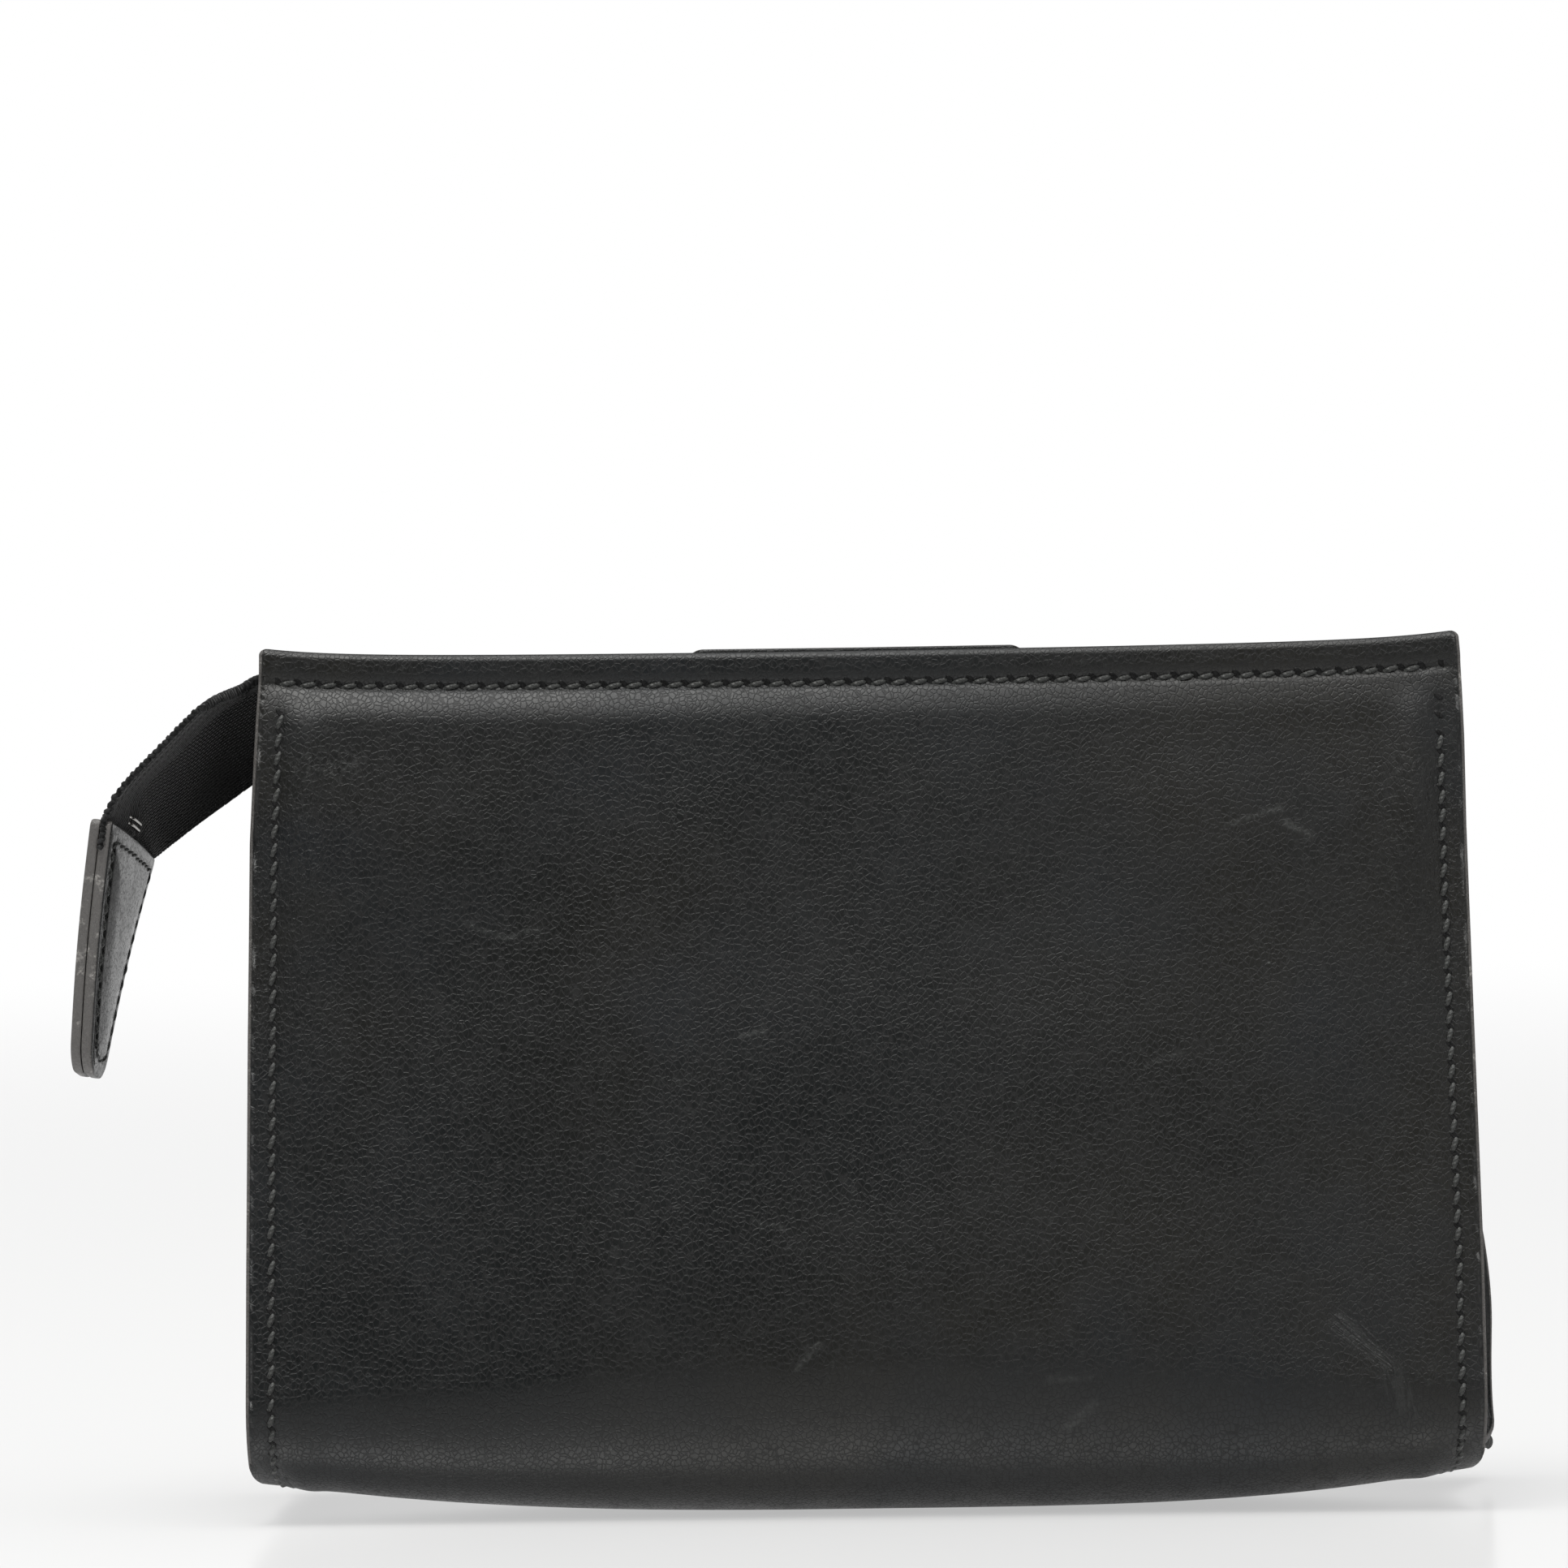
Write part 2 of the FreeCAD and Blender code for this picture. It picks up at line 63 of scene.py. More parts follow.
# ---- sizes, in mm
WRAP_LOW, WRAP_HIGH = box_mm("leather_wrap")
TOP = WRAP_HIGH[2]  # height of the mouth's edge
HALF = WRAP_HIGH[0]  # half the bag's width
TAPE_LOW, TAPE_HIGH = box_mm("zip_tape_front")
HEM_FACE = -TAPE_LOW[1]  # the hem's inner face, which the tape lies against
TAPE_TOP = TAPE_HIGH[2]
MOUTH = 8.0  # half the band's depth
FOLD = (MOUTH - HEM_FACE) / 2  # radius of the fold at the mouth's edge
FOOT = 28.3  # where the panel's line meets the floor
KNEE = 5.0  # from the edge down to where the panel starts to lean
KNEE_SOFT = 1.0  # how gently it starts
LEAN = math.atan((FOOT - MOUTH) / (TOP - KNEE))
LEATHER = 1.1  # one layer
CORNER = 0.75  # radius of the mouth edge's two ends
HEM = -9.0  # where the turned-in hem ends, on the panel's own line
ROW = 4.1  # the top stitch row, below the edge
ROW_END = 72.6  # its first and last hole, across from the middle
ROW_PITCH = 2.55
SEAM = 72.0  # the side rows, across from the middle
SEAM_PITCH = 2.3
ROW_START = 8.0  # their first hole, below the edge


def ease(x):
    x = np.clip(x, 0.0, 1.0)
    return x * x * (3 - 2 * x)


def bell(x, middle, width):
    return np.exp(-(((x - middle) / width) ** 2))


def unit(v):
    return v / np.maximum(np.linalg.norm(v, axis=-1, keepdims=True), 1e-9)


def spline(keys, at):
    """Smooth curve through the rows of keys, at shares 0..1 of the first three columns' length."""
    keys = np.asarray(keys, float)
    knots = np.concatenate([[0], np.cumsum(np.linalg.norm(np.diff(keys[:, :3], axis=0), axis=1))])
    knots /= knots[-1]
    slope = np.gradient(keys, knots, axis=0)
    at = np.asarray(at, float)
    i = np.clip(np.searchsorted(knots, at, side="right") - 1, 0, len(knots) - 2)
    h = knots[i + 1] - knots[i]
    s = ((at - knots[i]) / h)[:, None]
    h = h[:, None]
    return ((2 * s**3 - 3 * s**2 + 1) * keys[i] + (s**3 - 2 * s**2 + s) * h * slope[i]
            + (-2 * s**3 + 3 * s**2) * keys[i + 1] + (s**3 - s**2) * h * slope[i + 1])


# ---- the bag's skin
def foot_radius(x):
    """The panel's turn into the base, tighter towards the seams."""
    return 17 - 5 * (x / HALF) ** 2


def panel_line(x, t):
    """Out, up, and the normal's angle above the horizontal, t mm down the panel from the mouth's edge."""
    radius = foot_radius(x)
    sl, cl = math.sin(LEAN), math.cos(LEAN)
    run = (TOP - KNEE - radius * (1 + sl)) / cl
    s = t - KNEE
    q = np.minimum(KNEE_SOFT * np.logaddexp(0, s / KNEE_SOFT), run)
    y = MOUTH + sl * q
    z = TOP - KNEE - np.minimum(s, run) + (1 - cl) * q
    turn = np.clip((s - run) / radius, 0, LEAN + math.pi / 2)
    y = y + radius * (np.cos(LEAN - turn) - cl)
    z = z + radius * (np.sin(LEAN - turn) - sl)
    y = y - np.maximum(s - run - radius * (LEAN + math.pi / 2), 0)
    phi = LEAN / (1 + np.exp(-s / KNEE_SOFT)) - turn
    f = np.clip((FOLD - t) / FOLD, 0, math.pi)
    folded = t < FOLD
    y = np.where(folded, MOUTH - FOLD + FOLD * np.cos(f), y)
    z = np.where(folded, TOP - FOLD + FOLD * np.sin(f) - np.maximum(FOLD - math.pi * FOLD - t, 0), z)
    return y, z, np.where(folded, f, phi)


def panel_length(x):
    """From the mouth's edge to the middle of the bottom."""
    radius = foot_radius(x)
    run = (TOP - KNEE - radius * (1 + math.sin(LEAN))) / math.cos(LEAN)
    return KNEE + run + radius * (LEAN + math.pi / 2) + MOUTH + math.sin(LEAN) * run - radius * math.cos(LEAN)


WAVES = [(rng.uniform(25, 70), rng.uniform(0, math.pi), *rng.uniform(0, TURN, 2)) for _ in range(14)]
FINE = [(rng.uniform(2.2, 7), rng.uniform(-0.35, 0.35), *rng.uniform(0, TURN, 2)) for _ in range(16)]


def undulation(x, t, side):
    """Slow hollows and swells of soft leather."""
    total = 0
    for length, angle, front, back in WAVES:
        way = x * math.cos(angle) + t * math.sin(angle)
        total = total + np.sin(TURN / length * way + np.where(side < 0, front, back))
    return total / math.sqrt(len(WAVES))


def creases(x, t, side):
    """Short soft wrinkles that run down beside the side seams."""
    total = 0
    for length, slant, front, back in FINE:
        total = total + np.sin(TURN / length * (x + t * slant) + np.where(side < 0, front, back))
    return total / math.sqrt(len(FINE))


SHOULDER_X = [-75, -62, -30, 10, 45, 75]  # places across the front
SHOULDER_RISE = [1.30, 1.62, 1.42, 1.15, 0.85, 0.7]  # and how far the bulge stands off there
PUFF = 68.6  # the middle of the puffed strip beside each side row


def seam_relief(x, t):
    """The grooves and puckers that the stitch rows pull, and the puffed strips beside the seams."""
    ax = np.abs(x)
    low = ease((t - 6) / 5)
    d = 0.16 * np.sin(math.pi * np.clip((t - 1.1) / 2.8, 0, 1))
    d = d - 0.30 * bell(t, ROW, 0.5) * ease(73.8 - ax) - 0.26 * bell(ax, SEAM, 0.5) * low
    puff = 0.34 + 0.50 * bell(t, 22, 10) * (x > 0) + 0.25 * bell(t, 32, 16) * (x < 0)
    d = d + puff * bell(ax, PUFF, 2.3) * low
    pucker = np.cos(TURN * (x + ROW_END) / ROW_PITCH)
    seam_pucker = np.cos(TURN * (t - ROW_START) / SEAM_PITCH)
    d = d - 0.035 * pucker * bell(t, ROW, 1.0) * ease(73.5 - ax)
    return d - 0.04 * seam_pucker * bell(ax, SEAM - 0.8, 1.1) * low


def relief(x, t, side):
    """How far the leather stands off its plain line."""
    ax = np.abs(x)
    total = panel_length(x)
    climb = np.clip((t - ROW - 0.2) / 5.0, 0, 1)
    shoulder = np.interp(x * -side, SHOULDER_X, SHOULDER_RISE) * (2 * climb - climb**2)
    d = seam_relief(x, t) + shoulder * (1 - ease((t - 10) / 36)) * (1 - 0.2 * ease((ax - 69) / 5))
    belly = np.clip(1 - (x / HALF) ** 2, 0, 1) ** 1.5
    d = d + 1.5 * belly * ease((t - 10) / 40) * (1 - ease((t - 75) / 45))
    calm = ease((t - 8) / 14) * (1 - ease((t - total + 30) / 20)) * ease((73 - ax) / 6)
    d = d + 0.20 * undulation(x, t, side) * calm
    crumple = (0.6 * bell(t, 27, 13) + 0.15) * bell(ax, 66.5, 4.2) * ease((t - 9) / 6)
    d = d + 0.10 * creases(x, t, side) * crumple
    return d * ease((t - 1.1) / 0.9) * (1 - ease((t - total + 16) / 14))


EDGE_Z = [0, 10, 30, 60, 84, 95, 105, 109]  # heights, and how far each side edge stands out there
EDGE_LEFT = [1.7, 1.75, 1.7, 1.5, 1.2, 0.65, 0.05, 0.0]
EDGE_RIGHT = [1.1, 1.2, 1.3, 1.0, 0.75, 0.8, 0.6, 0.3]


def settle(p):
    """The bag as it stands: its mouth's edge dips, its bottom corners lift, and its foot is skewed."""
    x, y, z = p[..., 0], p[..., 1], p[..., 2]
    u = np.clip(np.abs(x) / HALF, 0, 1.1)
    edge = -0.5 + 0.85 * u**10 + 0.5 * u**3 + 0.3 * np.maximum(x, 0) / HALF
    rise = 5.0 * np.where(x < 0, u**2.7, u**3.3)
    up = edge * np.exp(-np.maximum(TOP - z, 0) / 30) + rise * np.exp(-np.maximum(z, 0) / 17)
    flare = np.where(x < 0, -np.interp(z, EDGE_Z, EDGE_LEFT), np.interp(z, EDGE_Z, EDGE_RIGHT)) * u**2
    skew = 5.0 * ease((58 - z) / 40) * ease((y + 4) / 26) * (0.25 + 0.75 * ease((x + 75) / 150))
    return np.stack([x + flare + skew, y, z + up], -1)


def skin(x, t, side, off=0.0):
    """Point on the leather's outer face, moved off outwards; side is -1 in front and 1 behind."""
    x, t, side, off = np.broadcast_arrays(*[np.asarray(v, float) for v in (x, t, side, off)])
    y, z, phi = panel_line(x, t)
    d = relief(x, t, side) + off
    under = 1.3 * ease((-np.degrees(phi) - 50) / 40) * (t > FOLD)
    near_top = np.clip(CORNER - (TOP - z), 0, CORNER)
    under = under + CORNER - np.sqrt(CORNER**2 - near_top**2 * 0.97)
    x = x - np.sign(x) * under * (np.abs(x) / HALF) ** 14
    return settle(np.stack([x, side * (y + d * np.cos(phi)), z + d * np.sin(phi)], -1))


def skin_normal(x, t, side):
    h = 0.35
    across = skin(x + h, t, side) - skin(x - h, t, side)
    down = skin(x, t + h, side) - skin(x, t - h, side)
    return unit(np.cross(across, down) * np.asarray(side)[..., None])


# ---- meshes
def add_mesh(name, verts, faces, material, uv=None, rim=None, smooth=True):
    """A mesh from vertices and UV in mm; rim is 1 where a cut edge shows."""
    me = bpy.data.meshes.new(name)
    me.from_pydata((np.reshape(verts, (-1, 3)) * MM).tolist(), [], np.asarray(faces).tolist())
    if uv is not None:
        layer = me.uv_layers.new(name="skin")
        index = np.empty(len(me.loops), np.int32)
        me.loops.foreach_get("vertex_index", index)
        values = (np.reshape(uv, (-1, 2)) * MM)[index]
        layer.data.foreach_set("uv", values.astype(np.float32).ravel())
    if rim is not None:
        attribute = me.attributes.new("rim", "FLOAT", "POINT")
        attribute.data.foreach_set("value", np.asarray(rim, np.float32).ravel())
    me.polygons.foreach_set("use_smooth", np.full(len(me.polygons), smooth))
    me.materials.append(material)
    me.update()
    ob = bpy.data.objects.new(name, me)
    bpy.context.scene.collection.objects.link(ob)
    return ob


def grid_faces(rows, cols, loop=False, flip=False):
    r, c = np.meshgrid(np.arange(rows - 1), np.arange(cols if loop else cols - 1), indexing="ij")
    a, b = r * cols + c, r * cols + (c + 1) % cols
    quads = np.stack([a, b, b + cols, a + cols], -1).reshape(-1, 4)
    return quads[:, ::-1] if flip else quads


RIM_ANGLES = np.radians([65, 40, 14, -14, -40, -65])
END_ANGLES = np.radians([0, 18, 38, 60])
SQUARENESS = 0.55  # power that makes a rounded edge fuller than a half circle


def slab_columns(cols, inner_cols, edge, thick):
    """One turn round a slab's section: share across, distance past that, height, and whether on the rim."""
    out = [(c, 0.0, 0.5, 0.0) for c in cols]
    reach = np.cos(RIM_ANGLES) ** SQUARENESS * edge
    rim = list(zip(reach, 0.5 * np.sign(RIM_ANGLES) * np.abs(np.sin(RIM_ANGLES)) ** SQUARENESS))
    right = [(1.0, e, h, 1.0) for e, h in rim]
    inner = [(c, 0.0, -0.5, 0.0) for c in inner_cols[::-1]]
    left = [(-1.0, -e, h, 1.0) for e, h in rim[::-1]]
    table = np.array(out + right + inner + left)
    table[:, 2] *= thick
    return table


def slab(name, place, rows, half, cols, inner_cols, thick, edge, material, uv_of=None):
    """A sheet of real thickness with rounded edges. place(x, t, h) is its surface, half(t) its half width."""
    table = slab_columns(cols, inner_cols, edge, thick)
    rows = np.asarray(rows, float)
    inset = edge * (1 - np.cos(END_ANGLES))
    inside = rows[(rows > rows[0] + edge) & (rows < rows[-1] - edge)]
    t = np.concatenate([rows[0] + inset, inside, rows[-1] - inset[::-1]])
    full = np.sin(END_ANGLES) ** SQUARENESS
    full = np.concatenate([full, np.ones(len(inside)), full[::-1]])[:, None]
    x = table[None, :, 0] * (half(t) - edge)[:, None] + table[None, :, 1]
    tt = np.repeat(t[:, None], len(table), 1)
    points = place(x, tt, table[None, :, 2] * full)
    rim = np.maximum(table[None, :, 3], 1 - full)
    uv = np.stack([x, tt], -1) if uv_of is None else uv_of(x, tt)
    return add_mesh(name, points, grid_faces(len(t), len(table), loop=True), material, uv=uv, rim=rim)


def tube(centre, radius, sides, across=None):
    """Vertices, faces and UV of a tube round a line of points, with a radius per point and open ends."""
    centre = np.asarray(centre, float)
    tangent = unit(np.gradient(centre, axis=0))
    hint = np.broadcast_to(np.asarray([0, 0, 1.0] if across is None else across, float), centre.shape)
    a = unit(np.cross(tangent, hint))
    b = np.cross(a, tangent)
    radius = np.broadcast_to(np.asarray(radius, float), (len(centre),))
    angle = np.linspace(0, TURN, sides, endpoint=False)
    ring = np.cos(angle)[None, :, None] * a[:, None] + np.sin(angle)[None, :, None] * b[:, None]
    verts = centre[:, None] + ring * radius[:, None, None]
    along = np.concatenate([[0], np.cumsum(np.linalg.norm(np.diff(centre, axis=0), axis=1))])
    uv = np.stack(np.broadcast_arrays(along[:, None], angle[None, :]), -1)
    return verts.reshape(-1, 3), grid_faces(len(centre), sides, loop=True), uv.reshape(-1, 2)


def add_parts(name, parts, material):
    """Several (verts, faces, uv) as one mesh."""
    verts, faces, uvs = zip(*parts)
    starts = np.cumsum([0] + [len(v) for v in verts[:-1]])
    faces = np.concatenate([f + start for f, start in zip(faces, starts)])
    return add_mesh(name, np.concatenate(verts), faces, material, uv=np.concatenate(uvs))


def solidify(ob, thick, offset=-1.0):
    m = ob.modifiers.new("thickness", "SOLIDIFY")
    m.thickness, m.offset, m.use_even_offset = thick * MM, offset, False
    dg = bpy.context.evaluated_depsgraph_get()
    me = bpy.data.meshes.new_from_object(ob.evaluated_get(dg), depsgraph=dg)
    old = ob.data
    ob.modifiers.clear()
    ob.data = me
    bpy.data.meshes.remove(old)


# ---- materials
class Value:
    """A number worked out by shader nodes, written in formulas like any other."""

    def __init__(self, shader, socket):
        self.shader, self.socket = shader, socket

    def __add__(self, other):
        return self.shader.math("ADD", self, other)

    def __sub__(self, other):
        return self.shader.math("SUBTRACT", self, other)

    def __rsub__(self, other):
        return self.shader.math("SUBTRACT", other, self)

    def __mul__(self, other):
        return self.shader.math("MULTIPLY", self, other)

    def __truediv__(self, other):
        return self.shader.math("DIVIDE", self, other)

    def __abs__(self):
        return self.shader.math("ABSOLUTE", self)


class Shader:
    """A node material, with short names for the nodes it uses."""

    def __init__(self, name):
        self.material = bpy.data.materials.new(name)
        self.material.use_nodes = True
        self.tree = self.material.node_tree
        self.tree.nodes.clear()
        self.bsdf = self.new("BsdfPrincipled")
        self.out = self.new("OutputMaterial", {"Surface": self.bsdf.outputs[0]})
        coords = self.new("TexCoord")
        self.uv, self.object = coords.outputs["UV"], coords.outputs["Object"]

    def new(self, kind, inputs=None, **settings):
        node = self.tree.nodes.new("ShaderNode" + kind)
        for key, value in settings.items():
            setattr(node, key, value)
        for key, value in (inputs or {}).items():
            self.put(node.inputs[key], value)
        return node

    def put(self, socket, value):
        if isinstance(value, Value):
            value = value.socket
        if isinstance(value, bpy.types.NodeSocket):
            self.tree.links.new(value, socket)
        elif socket.type == "RGBA" and len(value) == 3:
            socket.default_value = (*value, 1)
        else:
            socket.default_value = value

    def set(self, **values):
        for key, value in values.items():
            self.put(self.bsdf.inputs[key.replace("_", " ")], value)

    def math(self, op, a, b=0.0):
        return Value(self, self.new("Math", {0: a, 1: b}, operation=op).outputs[0])

    def most(self, a, b):
        return self.math("MAXIMUM", a, b)

    def vec(self, op, a, b=(0, 0, 0)):
        return self.new("VectorMath", {0: a, 1: b}, operation=op).outputs["Vector"]

    def scaled(self, vector, scale):
        return self.new("VectorMath", {0: vector, "Scale": scale}, operation="SCALE").outputs["Vector"]

    def measure(self, op, a, b=(0, 0, 0)):
        return Value(self, self.new("VectorMath", {0: a, 1: b}, operation=op).outputs["Value"])

    def step(self, x, low, high, a=0.0, b=1.0):
        """Smooth step from a to b as x goes from low to high."""
        node = self.new("MapRange", {0: x, 1: low, 2: high, 3: a, 4: b}, interpolation_type="SMOOTHSTEP")
        return Value(self, node.outputs[0])

    def mix(self, factor, a, b):
        return self.new("Mix", {0: factor, 6: a, 7: b}, data_type="RGBA").outputs[2]

    def noise(self, where, scale, detail=2.0, rough=0.5):
        node = self.new("TexNoise", {"Vector": where, "Scale": scale, "Detail": detail, "Roughness": rough})
        return Value(self, node.outputs[0])

    def drift(self, where, scale, detail, reach):
        """A slow random offset of up to reach, in metres."""
        node = self.new("TexNoise", {"Vector": where, "Scale": scale, "Detail": detail})
        return self.scaled(node.outputs[1], reach)

    def cells(self, where, scale, feature):
        node = self.new("TexVoronoi", {"Vector": where, "Scale": scale}, feature=feature)
        return Value(self, node.outputs["Distance"])

    def bump(self, height, distance, normal=None):
        node = self.new("Bump", {"Strength": 1.0, "Distance": distance, "Height": height})
        if normal is not None:
            self.put(node.inputs["Normal"], normal)
        return node.outputs[0]

    def split(self, vector):
        node = self.new("SeparateXYZ", {0: vector})
        return [Value(self, node.outputs[i]) for i in range(3)]

    def join(self, x, y, z=0.0):
        return self.new("CombineXYZ", {0: x, 1: y, 2: z}).outputs[0]


# Rubbed places on the front panel, in round numbers. The slope is in degrees, down to the right.
RUBS = [
    # middle across, middle down, length, slope, width, strength
    (-46.5, 35.5, 5, 20, 0.6, 0.40),
    (-42, 36, 4.5, -15, 0.6, 0.45),
    (46.5, 23, 2.5, -20, 0.6, 0.35),
    (50, 22, 4.5, -15, 0.7, 0.50),
    (53.5, 23.5, 2, 30, 0.8, 0.45),
    (55, 24.5, 2, 35, 0.9, 0.30),
    (-13.5, 49, 3, -10, 0.6, 0.45),
    (-12, 73, 4, 20, 0.5, 0.35),
    (37, 53, 5, -20, 0.5, 0.25),
    (-7.5, 89.5, 4, -45, 0.7, 0.40),
    (26, 97, 4, -40, 1.1, 0.30),
    (24.5, 92.5, 5, 0, 0.7, 0.25),
]
BLACKS = ((0.0050, 0.0059, 0.0060), (0.0086, 0.0083, 0.0067), (0.0058, 0.0071, 0.0083))  # cool, warm, blue
# PALE lightens dust, rubs and the chalky patch, and also paints glints on the corner folds
GROOVE, PORE, PALE = (0.002, 0.002, 0.002), (0.022, 0.024, 0.023), (0.12, 0.125, 0.12)
CUT_DARK, CUT_LIGHT, CUT_NICK = (0.036, 0.034, 0.032), (0.086, 0.081, 0.077), (0.26, 0.25, 0.235)
# painted shade inside the stitch holes
HOLE_SHADE = (0.0008, 0.0008, 0.0008)
FAR = 10 * MM  # moves a stitch hole out of reach


def segment_mark(s, a, b, width, where):
    """1 on the short line from a to b, in mm on the skin, fading to 0 at width."""
    ab = ((b[0] - a[0]) * MM, (b[1] - a[1]) * MM, 0.0)
    from_a = s.vec("SUBTRACT", where, (a[0] * MM, a[1] * MM, 0.0))
    share = s.measure("DOT_PRODUCT", from_a, ab) * (1 / (ab[0] ** 2 + ab[1] ** 2))
    nearest = s.scaled(ab, s.new("Clamp", {0: share}).outputs[0])
    return s.step(s.measure("DISTANCE", from_a, nearest), 0.0, width * MM, 1.0, 0.0)


def leather_grain(s, where, smooth, relief):
    """Tint, roughness and normal of burnished black leather with a fine grain."""
    warp = s.vec("ADD", where, s.drift(where, 700.0, 1.0, 0.45 * MM))
    stretched = s.vec("MULTIPLY", warp, (1.0, 1.0, 0.78))
    grain = s.step(s.cells(stretched, 1550.0, "DISTANCE_TO_EDGE"), 0.0, 0.16, 1.0, 0.0)
    coarse = s.cells(warp, 640.0, "SMOOTH_F1")
    fine = s.noise(stretched, 2300.0, 1.5, 0.6)
    patchy = s.noise(where, 30.0, 3.0, 0.55)
    clouds = s.noise(where, 13.0, 2.0, 0.5)
    worn = s.noise(where, 260.0, 4.0, 0.65)
    pores = s.noise(where, 1500.0, 3.0, 0.7)
    tint = s.mix(s.step(clouds, 0.38, 0.62), BLACKS[0], BLACKS[1])
    tint = s.mix(s.step(patchy, 0.45, 0.75), tint, BLACKS[2])
    tint = s.mix(grain * 0.65, tint, GROOVE)
    tint = s.mix(s.step(pores, 0.56, 0.74, 0.0, 0.5), tint, PORE)
    rough = s.step(patchy, 0.3, 0.7, 0.31 - smooth, 0.39 - smooth) + s.step(worn, 0.35, 0.7, -0.02, 0.05)
    rough = rough + s.step(pores, 0.35, 0.7, -0.01, 0.05) + grain * 0.16
    height = fine * 0.32 - grain * 0.55 - coarse * 0.22
    return tint, rough, s.bump(height, 0.048 * MM * relief)


def dust(s, where):
    specks = s.new("TexVoronoi", {"Vector": where, "Scale": 95.0})
    rare = s.step(s.split(specks.outputs["Color"])[0], 0.74, 0.76)
    return s.step(specks.outputs["Distance"], 0.006, 0.024, 1.0, 0.0) * rare * 0.7


def rub_marks(s, where):
    """The rubbed places, flaky and slightly bent."""
    flake = s.step(s.noise(where, 1700.0, 3.0, 0.7), 0.42, 0.62)
    reach = 1.1 * MM
    bent = s.vec("ADD", s.uv, s.drift(where, 420.0, 2.0, reach))
    bent = s.vec("SUBTRACT", bent, (reach / 2, reach / 2, reach / 2))
    total = 0.0
    for x, t, length, slope, width, strength in RUBS:
        dx, dt = (length / 2 * f(math.radians(slope)) for f in (math.cos, math.sin))
        mark = segment_mark(s, (x - dx, t - dt), (x + dx, t + dt), width, bent)
        total = s.most(mark * strength, total)
    return total * (flake * 0.75 + 0.25)


def chalky_patch(s, where, u, v):
    """Crazed, chalky grain under the left end of the top row."""
    far = s.measure("LENGTH", s.join((u + 66.0 * MM) / (7.0 * MM), (v - 14.5 * MM) / (3.2 * MM)))
    return s.step(far, 0.2, 1.0, 1.0, 0.0) * s.step(s.noise(where, 1300.0, 3.0, 0.7), 0.48, 0.62) * 0.30


def slit(s, du, dv):
    """1 in a short slanted hole round the place where du and dv are 0."""
    far = s.measure("LENGTH", s.join((du + dv) / (0.95 * MM), (du - dv) / (0.52 * MM)))
    return s.step(far, 0.65, 1.1, 1.0, 0.0)


def from_nearest(s, along, first, pitch):
    """Distance from the nearest hole of a row with its first hole and pitch in mm."""
    return (s.math("FRACT", (along - first * MM) / (pitch * MM) + 0.5) - 0.5) * (pitch * MM)


def stitch_holes(s, u, v):
    """1 in each hole of the top row and of the side rows."""
    ax = abs(u)
    across = from_nearest(s, u, -ROW_END, ROW_PITCH)
    past_end = s.step(ax, (ROW_END + 0.3) * MM, (ROW_END + 0.6) * MM, 0.0, FAR)
    top = slit(s, across + past_end, v - (ROW - 0.2) * MM)
    down = from_nearest(s, v, ROW_START, SEAM_PITCH)
    above = s.step(v, (ROW_START - 0.8) * MM, (ROW_START - 0.4) * MM, FAR, 0.0)
    return s.most(top, slit(s, (ax - SEAM * MM) * s.math("SIGN", u), down + above))


def ridges(s, across, along, scale):
    """Thin uneven lines that run along, in metres."""
    line = s.noise(s.join(across, along * 0.13), scale, 2.0, 0.55)
    return 1.0 - abs(line - 0.5) * 5.0


def corner_folds(s, u, v):
    """Fine creases where the lower right corner has been folded: a slanted part, then an upright one. On the
    panel their ridges are also painted paler, a painted glint.
    """
    head, knee, foot = (57.5, 86.0), (63.0, 92.0), (65.6, 99.0)
    slanted = ridges(s, u * 0.68 - v * 0.74, u * 0.74 + v * 0.68, 1150.0)
    upright = ridges(s, u - v * 0.12, v, 1050.0)
    slanted = slanted * segment_mark(s, head, knee, 2.6, s.uv)
    return s.most(slanted, upright * segment_mark(s, knee, foot, 4.2, s.uv))


def seam_crazing(s, where, u, v):
    """Grain stretched downwards beside the upper part of the side seams."""
    high = s.step(v, 11 * MM, 20 * MM) * s.step(v, 34 * MM, 62 * MM, 1.0, 0.0)
    crazed = s.noise(s.vec("MULTIPLY", where, (1.0, 1.0, 0.28)), 1500.0, 3.0, 0.6)
    return crazed * (s.step(abs(u), 60 * MM, 69 * MM) * high)


